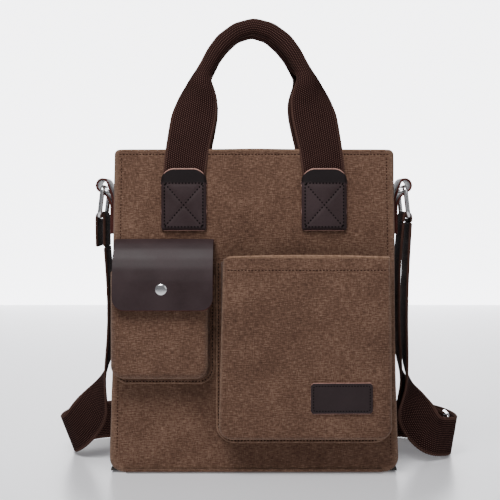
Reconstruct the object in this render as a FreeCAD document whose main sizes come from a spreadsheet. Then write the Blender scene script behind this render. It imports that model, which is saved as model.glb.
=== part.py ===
import FreeCAD, Part

# Canvas messenger bag with two carry handles, two front pockets and a long shoulder strap. Millimetres.
# The origin is the middle of the bag's bottom. +X is to the right of someone facing the front, the
# front faces -Y and +Z is up. The bag tapers a little towards its top, so the pieces sewn to the front
# and the rear are drawn in that panel's own frame and then leaned with it.

import math
import os
import re

import Sketcher
from FreeCAD import Placement, Rotation, Vector

SIZES = {
    # body
    "width_base": 294, "width_top": 282, "bag_height": 327, "depth_base": 84, "depth_top": 64,
    "cloth": 2.0, "facing_height": 30, "facing_thick": 1.2, "lining_thick": 0.8, "board_thick": 2.4,
    "piping_radius": 1.6, "piping_end_gap": 18, "clearance": 0.3,
    # zip
    "zip_drop": 14, "strip_thick": 1.2, "strip_overlap": 6, "tape_thick": 0.8, "tape_width": 13,
    "zip_half_length": 119, "stop_length": 3, "coil_width": 1.9, "coil_height": 2.0, "coil_gap": 1.4,
    "slider_length": 11, "slider_width": 8.4, "slider_plate": 1.2, "slider_neck": 0.7, "slider_place": 100,
    "bail_length": 6, "bail_height": 3.4, "bail_width": 2, "bail_wall": 1.1, "pull_pin_radius": 0.7,
    "pull_length": 26, "pull_width": 6.4, "pull_thick": 1.2,
    # carry handles and their leather patches
    "webbing_width": 40.4, "webbing_thick": 2.4, "patch_spacing": 141, "patch_width": 45, "patch_height": 61,
    "patch_drop": 20, "patch_thick": 2.0, "patch_radius": 10, "patch_hem": 3, "pivot_gap": 2.5,
    "leg_spacing": 132.5, "grip_radius": 45,
    "grip_rise": 81.5, "grip_side_width": 12.5, "grip_top_width": 17, "grip_thick": 6, "grip_offset": 14,
    "neck_width": 11, "neck_rise": 77,
    # pockets
    "pocket_cloth": 1.6,
    "small_left": -143, "small_right": -46, "small_bottom": 102, "small_mouth": 207, "small_depth": 24,
    "small_seam_right": -39.3, "small_seam_bottom": 93, "small_seam_left": -143.6,
    "large_left": -31.3, "large_right": 132, "large_bottom": 40, "large_mouth": 219.5, "large_depth": 26,
    "large_seam_left": -38, "large_seam_right": 137, "large_seam_bottom": 31, "large_seam_mouth": 211.5,
    # flap and snap
    "leather": 2.2, "flap_left": -139.6, "flap_right": -40.6, "flap_top": 235.7, "flap_bottom": 167.7,
    "flap_band": 7, "flap_hinge_gap": 1.6, "flap_stand_off": 3.7, "flap_radius": 12,
    "snap_place": -91.2, "snap_height": 187, "cap_radius": 6.5, "cap_height": 1.8, "socket_radius": 5,
    "socket_height": 1.3, "socket_bore": 2.9, "stud_radius": 1.7, "stud_height": 0.9, "stud_base": 0.6,
    "post_radius": 4.5, "post_height": 0.8,
    # label
    "label_left": 55.9, "label_width": 61, "label_bottom": 65, "label_height": 30, "label_thick": 1.6,
    "label_radius": 3.5,
    # side tabs and rings
    "tab_width": 36, "tab_bottom_drop": 85, "tab_seam_drop": 52, "loop_offset": 13, "loop_drop": 35.7,
    "loop_radius": 7.8, "loop_bore": 5.4, "ring_wire": 2.4, "ring_width": 49.8, "ring_height": 29.7,
    "ring_corner": 4.6, "ring_offset": 11.8, "ring_drop": 38, "ring_tilt": 6.8,
    # shoulder strap
    "strap_width": 40, "strap_thick": 2.4, "strap_fold_drop": 30.5, "strap_turn_drop": 5.5,
    "adjuster_tall": 48, "adjuster_long": 27,
    "adjuster_thick": 3, "adjuster_bar": 4, "adjuster_lean": 9, "adjuster_pin": 1.7,
    "brow_rise": 3, "neck_step": 1, "over": 1,
    "adjuster_side": 204.5, "adjuster_back": 30, "adjuster_middle": 24.4,
}

FRONT, REAR = -1, 1
LEFT, RIGHT = -1, 1

# Two bends of the flap, as shares of its way out from the panel and of its height over the mouth.
FLAP_SHOULDER, FLAP_BROW = (0.5, 0.93), (0.88, 0.42)
# How a handle's leg draws in above its brow: share of the rise, of the sideways move, of the
# narrowing, and of the folding.
LEG_STATIONS = ((0.42, 0.2, 0.03, 0.1), (0.68, 0.42, 0.2, 0.3), (0.86, 0.66, 0.5, 0.6), (1.0, 0.95, 1.0, 1.0))
GRIP_STEPS = 12

# The shoulder strap's middle line, point by point: down from the left ring, round behind the bag along
# the ground on its edge, and through the adjuster at the right.
STRAP_MAIN = [
    (-152.6, 0.0, 227.2), (-151.0, 0.6, 183.0), (-151.6, 1.6, 136.0), (-157.0, 3.0, 95.0),
    (-169.0, 6.0, 60.0), (-186.0, 12.0, 34.0), (-201.0, 30.0, 21.0), (-205.5, 58.0, 20.6),
    (-198.5, 88.0, 20.8), (-176.0, 111.0, 20.6), (-136.0, 121.5, 20.8), (-84.0, 117.5, 20.6),
    (-30.0, 121.5, 20.8), (24.0, 118.0, 20.6), (78.0, 121.5, 20.8), (130.0, 120.0, 20.6),
    (170.0, 115.0, 20.8), (198.0, 99.0, 20.8), (212.0, 74.0, 21.2), (217.5, 48.0, 21.8),
    (216.68, 36.0, 22.35),
]
# The layer that rises from the adjuster to the right ring, on the outside.
STRAP_OUTER = [
    (216.68, 36.0, 22.35), (216.0, 26.0, 22.8), (208.8, 13.5, 24.0), (189.0, 0.0, 27.6),
    (176.0, -2.0, 40.0), (166.0, -1.4, 62.0), (159.8, -0.6, 92.0), (157.4, 0.2, 130.0),
    (157.2, 0.4, 172.0), (158.4, 0.2, 213.0), (160.6, 0.0, 252.2),
]
# The layer that comes back down inside it and ends on the adjuster's middle bar.
STRAP_INNER = [
    (153.0, 0.0, 252.2), (152.5, 0.2, 216.0), (152.0, 0.8, 180.0), (152.2, 2.0, 143.0),
    (153.6, 5.0, 106.0), (159.5, 9.5, 74.0), (170.5, 14.0, 50.0), (184.0, 19.0, 36.0),
    (197.0, 27.5, 28.5),
]
# Where the strap's width points: along Y while it hangs, up once it stands on its edge on the ground.
HANGING = Vector(0, 1, 0)
STANDING_LEFT = Vector(-0.36, 0, 0.93)
STANDING_REAR = Vector(0, 0.08, 1)
STANDING_RIGHT = Vector(0.16, 0, 0.99)

doc = FreeCAD.newDocument("messenger_bag")
sheet = doc.addObject("Spreadsheet::Sheet", "Sizes")


def fill_sheet():
    """Write every driving dimension into the sheet, one named cell each."""
    for row, (alias, value) in enumerate(SIZES.items(), start=1):
        sheet.set(f"A{row}", alias)
        sheet.set(f"B{row}", str(value))
        sheet.setAlias(f"B{row}", alias)
    doc.recompute()


def size(alias):
    """A driving dimension, read back from the sheet."""
    return float(getattr(sheet, alias))


def bind(thing, prop, text):
    """Tie a property to a formula in which every known word is a cell of the sheet."""
    formula = re.sub(r"[a-z][a-z_]+", lambda word: f"Sizes.{word[0]}" if word[0] in SIZES else word[0], text)
    thing.setExpression(prop, formula)


def box(name, xs, ys, zs):
    """Block between two formulas along each axis."""
    block = doc.addObject("Part::Box", name)
    for prop, axis, (low, high) in zip(("Length", "Width", "Height"), "xyz", (xs, ys, zs)):
        bind(block, prop, f"({high}) - ({low})")
        bind(block, f"Placement.Base.{axis}", low)
    return block


def rod(name, axis, radius, length, start):
    """Round bar along one axis, from a start point given as three formulas."""
    turns = {"x": Rotation(Vector(0, 1, 0), 90), "y": Rotation(Vector(1, 0, 0), -90), "z": Rotation()}
    bar = doc.addObject("Part::Cylinder", name)
    bar.Placement = Placement(Vector(), turns[axis])
    bind(bar, "Radius", radius)
    bind(bar, "Height", length)
    for letter, formula in zip("xyz", start):
        bind(bar, f"Placement.Base.{letter}", formula)
    return bar


def wedge(name, near, far, ends):
    """Block that tapers along Y: near and far are ((x0, x1), (z0, z1)) at the two ends."""
    block = doc.addObject("Part::Wedge", name)
    for prefix, ((x_low, x_high), (z_low, z_high)) in (("", near), ("2", far)):
        bind(block, f"X{prefix}min", x_low)
        bind(block, f"X{prefix}max", x_high)
        bind(block, f"Z{prefix}min", z_low)
        bind(block, f"Z{prefix}max", z_high)
    bind(block, "Ymin", ends[0])
    bind(block, "Ymax", ends[1])
    return block


def frustum(name, bottom, top, heights):
    """Block that tapers upwards: bottom and top are ((x0, x1), (y0, y1)) at the two heights."""
    turned = [(xs, (f"-({ys[1]})", f"-({ys[0]})")) for xs, ys in (bottom, top)]
    block = wedge(name, turned[0], turned[1], heights)
    block.Placement = Placement(Vector(), Rotation(Vector(1, 0, 0), 90))
    return block


def combine(kind, name, first, second):
    """Part::Cut, Part::Fuse or Part::Common of two objects."""
    result = doc.addObject(f"Part::{kind}", name)
    result.Base = first
    result.Tool = second
    return result


def fuse_all(name, pieces):
    """One solid from several that touch."""
    result = doc.addObject("Part::MultiFuse", name)
    result.Shapes = pieces
    return result


def lean_with(panel, thing):
    """Move an object drawn on an upright panel onto the leaning front or rear panel."""
    thing.Placement = Placement(Vector(), Rotation(Vector(panel, 0, 0), 1))
    bind(thing, "Placement.Rotation.Angle", "atan((depth_base - depth_top) / 2 / bag_height)")
    bind(thing, "Placement.Base.y", f"{panel} * depth_base / 2")
    return thing


def panel_point(panel, place, out, height):
    """World position of a point drawn on an upright panel: out is the distance in front of it."""
    lean = math.atan((size("depth_base") - size("depth_top")) / 2 / size("bag_height"))
    y = panel * (size("depth_base") / 2 + out * math.cos(lean) - height * math.sin(lean))
    return Vector(place, y, out * math.sin(lean) + height * math.cos(lean))


def plate(label, panel, xs, zs, outs, radius=None, round_low=True, round_high=True):
    """Flat piece on a panel, between two distances out from it, with rounded corners if asked."""
    body = doc.addObject("PartDesign::Body", label)
    plane = next(face for face in body.Origin.OriginFeatures if face.Role == "XZ_Plane")
    sketch = body.newObject("Sketcher::SketchObject", f"{label}_outline")
    sketch.AttachmentSupport = [(plane, "")]
    sketch.MapMode = "FlatFace"
    offset = outs[0] if panel == FRONT else f"-({outs[0]})"
    bind(sketch, "AttachmentOffset.Base.z", offset)
    corners = [(xs[0], zs[0]), (xs[1], zs[0]), (xs[1], zs[1]), (xs[0], zs[1])]
    guess = [Vector(-1, -1, 0), Vector(1, -1, 0), Vector(1, 1, 0), Vector(-1, 1, 0)]
    for index in range(4):
        sketch.addGeometry(Part.LineSegment(guess[index], guess[(index + 1) % 4]), False)
    for index in range(4):
        sketch.addConstraint(Sketcher.Constraint("Coincident", index, 2, (index + 1) % 4, 1))
    for index, (x_formula, z_formula) in enumerate(corners):
        for kind, formula in (("DistanceX", x_formula), ("DistanceY", z_formula)):
            number = sketch.addConstraint(Sketcher.Constraint(kind, -1, 1, index, 1, 1.0))
            bind(sketch, f"Constraints[{number}]", formula)
    pad = body.newObject("PartDesign::Pad", f"{label}_pad")
    pad.Profile = sketch
    pad.Reversed = panel == REAR
    bind(pad, "Length", f"({outs[1]}) - ({outs[0]})")
    if radius:
        round_corners(body, pad, radius, round_low, round_high)
    return lean_with(panel, body)


def round_corners(body, pad, radius, round_low, round_high):
    """Round the plate's edges that run through its thickness, at its lower or upper corners or both."""
    doc.recompute()
    middle = pad.Shape.CenterOfMass.z
    chosen = []
    for number, edge in enumerate(pad.Shape.Edges, start=1):
        start, end = (vertex.Point for vertex in edge.Vertexes)
        through = abs((end - start).normalize().y) > 0.99
        if through and (round_high if start.z > middle else round_low):
            chosen.append(f"Edge{number}")
    rounding = body.newObject("PartDesign::Fillet", f"{pad.Name}_rounded")
    rounding.Base = (pad, chosen)
    bind(rounding, "Radius", radius)


def solid_feature(label, shape):
    """A piece whose form no primitive has, from its finished shape."""
    feature = doc.addObject("Part::Feature", label)
    feature.Shape = shape
    return feature


def half_width(height):
    """Formula for half the bag's outside width at a height."""
    return f"(width_base / 2 - (width_base - width_top) / 2 * ({height}) / bag_height)"


def half_depth(height):
    """Formula for half the bag's outside depth at a height."""
    return f"(depth_base / 2 - (depth_base - depth_top) / 2 * ({height}) / bag_height)"


def body_slice(name, low, high, inset):
    """The tapering body between two heights, drawn in from its outside by an inset."""
    levels = []
    for height in (low, high):
        wide = f"({half_width(height)} - ({inset}))"
        deep = f"({half_depth(height)} - ({inset}))"
        levels.append(((f"-{wide}", wide), (f"-{deep}", deep)))
    return frustum(name, levels[0], levels[1], (low, high))


def build_shell():
    """Canvas panels, gussets and base, the board and lining inside them and the facing round the mouth."""
    nodes = []
    for label, panel in (("front_panel", FRONT), ("rear_panel", REAR)):
        levels = []
        for height in ("0", "bag_height"):
            wide, deep = half_width(height), half_depth(height)
            edges = (f"{panel} * {deep}", f"{panel} * ({deep} - cloth)")
            levels.append(((f"-{wide}", wide), edges if panel == FRONT else edges[::-1]))
        nodes.append(frustum(label, levels[0], levels[1], ("0", "bag_height")))
    for label, hand in (("left_gusset", LEFT), ("right_gusset", RIGHT)):
        levels = []
        for height in ("0", "bag_height"):
            wide, deep = half_width(height), f"({half_depth(height)} - cloth)"
            edges = (f"{hand} * {wide}", f"{hand} * ({wide} - cloth)")
            levels.append((edges if hand == LEFT else edges[::-1], (f"-{deep}", deep)))
        nodes.append(frustum(label, levels[0], levels[1], ("0", "bag_height")))
    nodes.append(body_slice("base_panel", "0", "cloth", "cloth"))
    nodes.append(body_slice("base_board", "cloth", "cloth + board_thick", "cloth"))

    floor, facing_low = "cloth + board_thick", "bag_height - facing_height"
    liner = body_slice("lining_outside", floor, facing_low, "cloth")
    space = body_slice("lining_inside", f"{floor} + lining_thick", f"{facing_low} + over",
                       "cloth + lining_thick")
    nodes.append(combine("Cut", "lining", liner, space))
    band = body_slice("facing_outside", facing_low, "bag_height", "cloth")
    mouth = body_slice("facing_inside", f"{facing_low} - 1", "bag_height + 1", "cloth + facing_thick")
    nodes.append(combine("Cut", "top_facing", band, mouth))
    return nodes


def build_piping():
    """Cord-edged trim along the bottom seams."""
    nodes = []
    for label, panel in (("front_piping", FRONT), ("rear_piping", REAR)):
        height = "piping_radius * 2"
        start = ("-(width_base / 2 - piping_end_gap)",
                 f"{panel} * ({half_depth('0')} + piping_radius)", height)
        nodes.append(rod(label, "x", "piping_radius", "width_base - 2 * piping_end_gap", start))
    return nodes


def build_zip():
    """Two fabric strips, the tapes and coils between them, the end stops, the slider and its pull."""
    nodes = []
    level = "(bag_height - zip_drop)"
    inner, outer = "coil_gap / 2", "(coil_gap / 2 + coil_width)"
    tape_edge = f"({outer} + tape_width)"
    far = "depth_base"
    for panel, word in ((FRONT, "front"), (REAR, "rear")):
        def across(near, far_side):
            spans = (f"{panel} * ({near})", f"{panel} * ({far_side})")
            return spans if panel == REAR else spans[::-1]
        sheet_piece = body_slice(f"{word}_strip_whole", level, f"{level} + strip_thick",
                                 "cloth + facing_thick")
        keep = box(f"{word}_strip_keep", ("-width_base", "width_base"),
                   across(f"{tape_edge} - strip_overlap", far),
                   (f"{level} - over", f"{level} + strip_thick + over"))
        nodes.append(combine("Common", f"zip_strip_{word}", sheet_piece, keep))
        length = ("-zip_half_length", "zip_half_length")
        nodes.append(box(f"zip_tape_{word}", length, across(outer, tape_edge),
                         (f"{level} - tape_thick", level)))
        coil_ends = ("-(zip_half_length - stop_length)", "zip_half_length - stop_length")
        middle = f"({level} - tape_thick / 2)"
        nodes.append(box(f"zip_coil_{word}", coil_ends, across(inner, outer),
                         (f"{middle} - coil_height / 2", f"{middle} + coil_height / 2")))
    stops = []
    for hand in (LEFT, RIGHT):
        ends = [f"{hand} * (zip_half_length - stop_length)", f"{hand} * zip_half_length"]
        stops.append(box(f"stop_{'left' if hand == LEFT else 'right'}", ends[::hand],
                         (f"-{outer}", outer),
                         (f"{middle} - coil_height / 2", f"{middle} + coil_height / 2")))
    nodes.append(fuse_all("zip_end_stops", stops))
    return nodes + [build_slider(middle, outer), build_pull()]


def build_slider(middle, coil_side):
    """Slider: two plates joined by a neck between the coils, with slots for the tapes and a bail on top."""
    roof = "(coil_height / 2 + clearance + slider_plate)"
    ends = ("slider_place - slider_length / 2", "slider_place + slider_length / 2")
    through = ("slider_place - slider_length", "slider_place + slider_length")
    whole = box("slider_block", ends, ("-slider_width / 2", "slider_width / 2"),
                (f"{middle} - {roof}", f"{middle} + {roof}"))
    side = f"({coil_side} + clearance)"
    tall = "(coil_height / 2 + clearance)"
    channel = box("slider_channel", through, (f"-{side}", side), (f"{middle} - {tall}", f"{middle} + {tall}"))
    slot = box("slider_slot", through, ("-slider_width", "slider_width"),
               (f"{middle} - tape_thick / 2 - clearance", f"{middle} + tape_thick / 2 + clearance"))
    neck = box("slider_neck_block", ("slider_place - slider_length / 4", "slider_place + slider_length / 4"),
               ("-slider_neck / 2", "slider_neck / 2"), (f"{middle} - {roof}", f"{middle} + {roof}"))
    bail_foot = f"({middle} + {roof})"
    bail = box("bail_block", ("slider_place - bail_length / 2", "slider_place + bail_length / 2"),
               ("-bail_width / 2", "bail_width / 2"), (bail_foot, f"{bail_foot} + bail_height"))
    window = box("bail_window", ("slider_place - bail_length / 2 + bail_wall",
                                 "slider_place + bail_length / 2 - bail_wall"),
                 ("-bail_width", "bail_width"), (bail_foot, f"{bail_foot} + bail_height - bail_wall"))
    hollow = combine("Cut", "slider_with_channel", whole, channel)
    slotted = combine("Cut", "slider_with_slot", hollow, slot)
    arch = combine("Cut", "bail_arch", bail, window)
    return fuse_all("zip_slider", [slotted, neck, arch])


def pull_pivot_height():
    """Formula for the height of the pull's pin inside the bail."""
    top = "(bag_height - zip_drop - tape_thick / 2 + coil_height / 2 + clearance + slider_plate)"
    return f"({top} + (bail_height - bail_wall) / 2)"


def build_pull():
    """Pull tab that lies along the zip, forked round the bail, with its pin through the window."""
    height = pull_pivot_height()
    tab = box("pull_tab", ("slider_place - pull_length", "slider_place + pull_pin_radius"),
              ("-pull_width / 2", "pull_width / 2"),
              (f"{height} - pull_thick / 2", f"{height} + pull_thick / 2"))
    fork = box("pull_fork",
               ("slider_place - bail_length / 2 - bail_height / 2", "slider_place + bail_length"),
               ("-(bail_width / 2 + clearance)", "bail_width / 2 + clearance"),
               (f"{height} - pull_thick", f"{height} + pull_thick"))
    pin = rod("pull_pin", "y", "pull_pin_radius", "pull_width", ("slider_place", "-pull_width / 2", height))
    return combine("Fuse", "zip_pull", combine("Cut", "pull_forked", tab, fork), pin)


def build_pockets():
    """The two box pockets: splayed cloth trays, open at the top and closed behind by the panel."""
    nodes = []
    for word in ("small", "large"):
        left, right, low, mouth = (f"{word}_{edge}" for edge in ("left", "right", "bottom", "mouth"))
        seam_left, seam_right, seam_low = (f"{word}_seam_{edge}" for edge in ("left", "right", "bottom"))
        seam_mouth = "small_mouth" if word == "small" else "large_seam_mouth"
        depth, wall = f"{word}_depth", "pocket_cloth"
        tray = wedge(f"{word}_tray", ((left, right), (low, mouth)),
                     ((seam_left, seam_right), (seam_low, seam_mouth)),
                     (f"-{depth}", "0"))
        inside_near = ((f"{left} + {wall}", f"{right} - {wall}"),
                       (f"{low} + {wall}", f"{mouth} + {wall}"))
        inside_far = ((f"{seam_left} + {wall}", f"{seam_right} - {wall}"),
                      (f"{seam_low} + {wall}", f"{seam_mouth} + {wall}"))
        space = wedge(f"{word}_space", inside_near, inside_far, (f"-({depth} - {wall})", "0"))
        nodes.append(lean_with(FRONT, combine("Cut", f"{word}_pocket", tray, space)))
    return nodes


def build_flap():
    """Leather flap over the small pocket: a sewn band and the part that swings below it."""
    sides = ("flap_left", "flap_right")
    band = plate("flap_seam_band", FRONT, sides, ("flap_top - flap_band", "flap_top"), ("0", "leather"))
    pivot = flap_pivot()
    out = size("small_depth") + size("flap_stand_off")
    mouth = size("small_mouth")
    rise = pivot[1] - mouth
    middle = [pivot, (FLAP_SHOULDER[0] * out, mouth + FLAP_SHOULDER[1] * rise),
              (FLAP_BROW[0] * out, mouth + FLAP_BROW[1] * rise),
              (out, mouth - size("leather") * 2), (out, size("flap_bottom"))]
    line = [Vector(size("flap_left"), -place, height) for place, height in middle]
    profile = strip_face(line, size("leather"))
    sheet_solid = profile.extrude(Vector(size("flap_right") - size("flap_left"), 0, 0))
    corner = size("flap_radius")
    low_edges = [edge for edge in sheet_solid.Edges if runs_outward_at(edge, size("flap_bottom"))]
    flap = solid_feature("small_pocket_flap", sheet_solid.makeFillet(corner, low_edges))
    return [band, lean_with(FRONT, flap)] + build_snap(out)


def strip_face(line, thick):
    """Face of even thickness along a bent line in the YZ plane, with mitred bends and square ends."""
    sides = []
    for side in (1, -1):
        for index, point in enumerate(line):
            runs = [(far - near).normalize() for near, far in zip(line, line[1:])]
            ways = runs[max(index - 1, 0):index + 1]
            normals = [Vector(0, -way.z, way.y) for way in ways]
            mitre = sum(normals[1:], normals[0]).normalize()
            sides.append((side, point + mitre * (side * thick / 2 / mitre.dot(normals[0]))))
    outline = [point for side, point in sides if side == 1]
    outline += [point for side, point in reversed(sides) if side == -1]
    return Part.Face(Part.makePolygon(outline + outline[:1]))


def flap_pivot():
    """Where the flap bends, as (distance out from the panel, height on it): just clear of its sewn band."""
    height = size("flap_top") - size("flap_band") - size("flap_hinge_gap")
    return (1.5 * size("leather") + size("clearance"), height)


def runs_outward_at(edge, height):
    """True for a straight edge through the sheet's thickness at one height."""
    start, end = (vertex.Point for vertex in edge.Vertexes)
    level = abs(start.z - height) < 0.01 and abs(end.z - height) < 0.01
    return level and abs(start.x - end.x) < 0.01


def build_snap(flap_out):
    """Press stud: cap and socket on the flap, stud and its backing post on the pocket."""
    face = size("small_depth")
    outer_skin = flap_out + size("leather") / 2
    inner_skin = flap_out - size("leather") / 2
    cap = snap_disc("cap_radius", outer_skin, outer_skin + size("cap_height"))
    cap = cap.makeFillet(size("cap_height") * 0.6, [max(cap.Edges, key=lambda edge: -edge.CenterOfMass.y)])
    socket = snap_disc("socket_radius", inner_skin - size("socket_height"), inner_skin)
    bore = snap_disc("socket_bore", inner_skin - size("socket_height"), inner_skin)
    stud = snap_disc("post_radius", face, face + size("stud_base"))
    stud = stud.fuse(snap_disc("stud_radius", face, face + size("stud_base") + size("stud_height")))
    back = face - size("pocket_cloth")
    post = snap_disc("post_radius", back - size("post_height"), back)
    shapes = (("snap_cap", cap), ("snap_socket", socket.cut(bore)), ("snap_stud", stud), ("snap_post", post))
    return [lean_with(FRONT, solid_feature(label, shape)) for label, shape in shapes]


def snap_disc(radius, near, far):
    """Round disc at the snap's place between two distances out from the panel."""
    start = Vector(size("snap_place"), -near, size("snap_height"))
    return Part.makeCylinder(size(radius), far - near, start, Vector(0, -1, 0))


def build_leather_patches():
    """Label on the large pocket, handle patches and the webbing ends that they hold down."""
    label_sides = ("label_left", "label_left + label_width")
    label_heights = ("label_bottom", "label_bottom + label_height")
    nodes = [plate("label", FRONT, label_sides, label_heights,
                   ("large_depth", "large_depth + label_thick"), "label_radius")]
    top = "(bag_height - patch_drop)"
    for word, panel in (("front", FRONT), ("rear", REAR)):
        for hand, side in (("left", LEFT), ("right", RIGHT)):
            centre = f"({side} * patch_spacing / 2)"
            sides = (f"{centre} - patch_width / 2", f"{centre} + patch_width / 2")
            patch = plate(f"{word}_patch_{hand}", panel, sides, (f"{top} - patch_height", top),
                          ("webbing_thick", "webbing_thick + patch_thick"), "patch_radius", round_low=False)
            web = (f"{centre} - webbing_width / 2", f"{centre} + webbing_width / 2")
            anchor = plate(f"{word}_anchor_{hand}", panel, web, (f"{top} - patch_height + patch_hem", top),
                           ("0", "webbing_thick"))
            nodes += [patch, anchor]
    return nodes


def handle_pivot(panel):
    """World point on the axis about which a handle swings, just above its patches."""
    out = size("webbing_thick") / 2 + size("clearance")
    return panel_point(panel, 0, out, size("bag_height") - size("patch_drop") + size("pivot_gap"))


def build_handle(label, panel):
    """Webbing handle: two flat legs that narrow to a neck and a folded, arched grip between them."""
    pivot = handle_pivot(panel)
    brow = panel_point(panel, 0, size("webbing_thick") / 2 + size("clearance"),
                       size("bag_height") + size("brow_rise"))
    centre_height = size("bag_height") + size("grip_rise")
    crown = centre_height + size("grip_radius")
    lean = (panel * size("grip_offset") - brow.y) / (crown - brow.z)

    def depth_at(height):
        if height <= brow.z:
            return pivot.y + (brow.y - pivot.y) * (height - pivot.z) / (brow.z - pivot.z)
        return brow.y + lean * (height - brow.z)

    leg, neck = size("leg_spacing") / 2, size("grip_radius") + size("neck_step")
    full, narrow = size("webbing_width"), size("neck_width")
    rise = size("bag_height") + size("neck_rise") - brow.z
    stations = [(size("patch_spacing") / 2, pivot.z, full, 0.0), (leg, brow.z, full, 0.0)]
    stations += [(leg + (neck - leg) * move, brow.z + rise * up, full + (narrow - full) * pinch, fold)
                 for up, move, pinch, fold in LEG_STATIONS]
    flat, thick = size("webbing_thick"), size("grip_thick")
    right_leg = []
    for place, height, width, fold in stations:
        middle = Vector(place, depth_at(height), height)
        right_leg.append(section(middle, Vector(width / 2, 0, 0), flat + (thick - flat) * fold))
    left_leg = [mirrored(points) for points in reversed(right_leg)]
    grip = []
    for step in range(GRIP_STEPS + 1):
        angle = math.pi * step / GRIP_STEPS
        outward = Vector(math.cos(angle), 0, math.sin(angle))
        width = size("grip_side_width") + (size("grip_top_width") - size("grip_side_width")) * math.sin(angle)
        height = centre_height + size("grip_radius") * math.sin(angle)
        middle = Vector(size("grip_radius") * math.cos(angle), depth_at(height), height)
        grip.append(section(middle, outward * (width / 2), thick))
    return solid_feature(label, ruled_solid(right_leg + grip + left_leg))


def section(middle, half_across, thick):
    """Four corners of a flat section whose thickness lies along Y."""
    through = Vector(0, thick / 2, 0)
    return [middle + half_across - through, middle + half_across + through,
            middle - half_across + through, middle - half_across - through]


def mirrored(points):
    """The section on the other side of the bag, with its corners kept in the loft's order."""
    return [Vector(-point.x, point.y, point.z) for point in points]


def ruled_solid(sections):
    """Solid through a row of four-cornered sections, joined by straight-sided lengths."""
    wires = [Part.makePolygon(points + points[:1]) for points in sections]
    return Part.makeLoft(wires, True, True)


def build_tabs_and_rings():
    """Leather tabs on the gussets, each with a loop that holds an oval metal ring."""
    nodes = []
    for word, hand in (("left", LEFT), ("right", RIGHT)):
        nodes.append(build_tab(f"{word}_ring_tab", hand))
        nodes.append(build_ring(f"{word}_ring", hand))
    return nodes


def build_tab(label, hand):
    """Doubled leather strip sewn to a gusset, opening into a loop at its top."""
    low, seam = "(bag_height - tab_bottom_drop)", "(bag_height - tab_seam_drop)"
    loop_height = "(bag_height - loop_drop)"
    loop_place = f"({half_width(loop_height)} + loop_offset)"
    across = ("-tab_width / 2", "tab_width / 2")

    def sides(near, far):
        ends = (f"{hand} * ({near})", f"{hand} * ({far})")
        return ends if hand == RIGHT else ends[::-1]
    tail_low = sides(half_width(low), f"{half_width(low)} + 2 * leather")
    tail_high = sides(half_width(seam), f"{half_width(seam)} + 2 * leather")
    tail = frustum(f"{label}_tail", (tail_low, across), (tail_high, across), (low, seam))
    neck_high = sides(f"{loop_place} - loop_radius", loop_place)
    neck = frustum(f"{label}_neck", (tail_high, across), (neck_high, across), (seam, loop_height))
    start = (f"{hand} * {loop_place}", "-tab_width / 2", loop_height)
    loop = rod(f"{label}_loop", "y", "loop_radius", "tab_width", start)
    bore_start = (start[0], "-tab_width", loop_height)
    bore = rod(f"{label}_bore", "y", "loop_bore", "2 * tab_width", bore_start)
    return combine("Cut", label, fuse_all(f"{label}_whole", [tail, neck, loop]), bore)


def ring_pivot(hand):
    """World point on the axis of a ring's top bar."""
    height = size("bag_height") - size("ring_drop")
    taper = (size("width_base") - size("width_top")) / 2
    side = size("width_base") / 2 - taper * height / size("bag_height")
    return Vector(hand * (side + size("ring_offset")), 0, height)


def build_ring(label, hand):
    """Oval wire ring drawn hanging from its own top bar, then tilted outwards and hung in its tab."""
    wide, tall = "(ring_width / 2)", "ring_height"
    straight_wide, straight_tall = "(ring_width - 2 * ring_corner)", "(ring_height - 2 * ring_corner)"
    pieces = []
    for word, level in (("top", "0"), ("bottom", f"-{tall}")):
        pieces.append(rod(f"{label}_{word}", "y", "ring_wire", straight_wide,
                          ("0", f"-{straight_wide} / 2", level)))
    for word, side in (("near", FRONT), ("far", REAR)):
        start = ("0", f"{side} * {wide}", "-(ring_height - ring_corner)")
        pieces.append(rod(f"{label}_{word}", "z", "ring_wire", straight_tall, start))
        for level_word, level, quarter in (("top", "-ring_corner", 0),
                                           ("bottom", "-(ring_height - ring_corner)", 1)):
            bend = doc.addObject("Part::Torus", f"{label}_{word}_{level_word}")
            turn = {(REAR, 0): 0, (FRONT, 0): 90, (FRONT, 1): 180, (REAR, 1): 270}[(side, quarter)]
            bend.Placement = Placement(Vector(), Rotation(Vector(1, 0, 0), turn) * upright_plane())
            bend.Angle3 = 90
            bind(bend, "Radius1", "ring_corner")
            bind(bend, "Radius2", "ring_wire")
            bind(bend, "Placement.Base.y", f"{side} * ({wide} - ring_corner)")
            bind(bend, "Placement.Base.z", level)
            pieces.append(bend)
    ring = fuse_all(label, pieces)
    ring.Placement = Placement(Vector(), Rotation(Vector(0, -hand, 0), 1))
    bind(ring, "Placement.Rotation.Angle", "ring_tilt")
    height = "(bag_height - ring_drop)"
    bind(ring, "Placement.Base.x", f"{hand} * ({half_width(height)} + ring_offset)")
    bind(ring, "Placement.Base.z", height)
    return ring


def upright_plane():
    """Turns a ring that lies flat so that it stands in the YZ plane, starting towards +Y."""
    return Rotation(Vector(0, 1, 0), Vector(0, 0, 1), Vector(1, 0, 0), "XYZ")


def ring_bar(hand):
    """World point on the axis of a ring's bottom bar."""
    tilt = math.radians(size("ring_tilt"))
    return ring_pivot(hand) + Vector(hand * math.sin(tilt), 0, -math.cos(tilt)) * size("ring_height")


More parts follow.
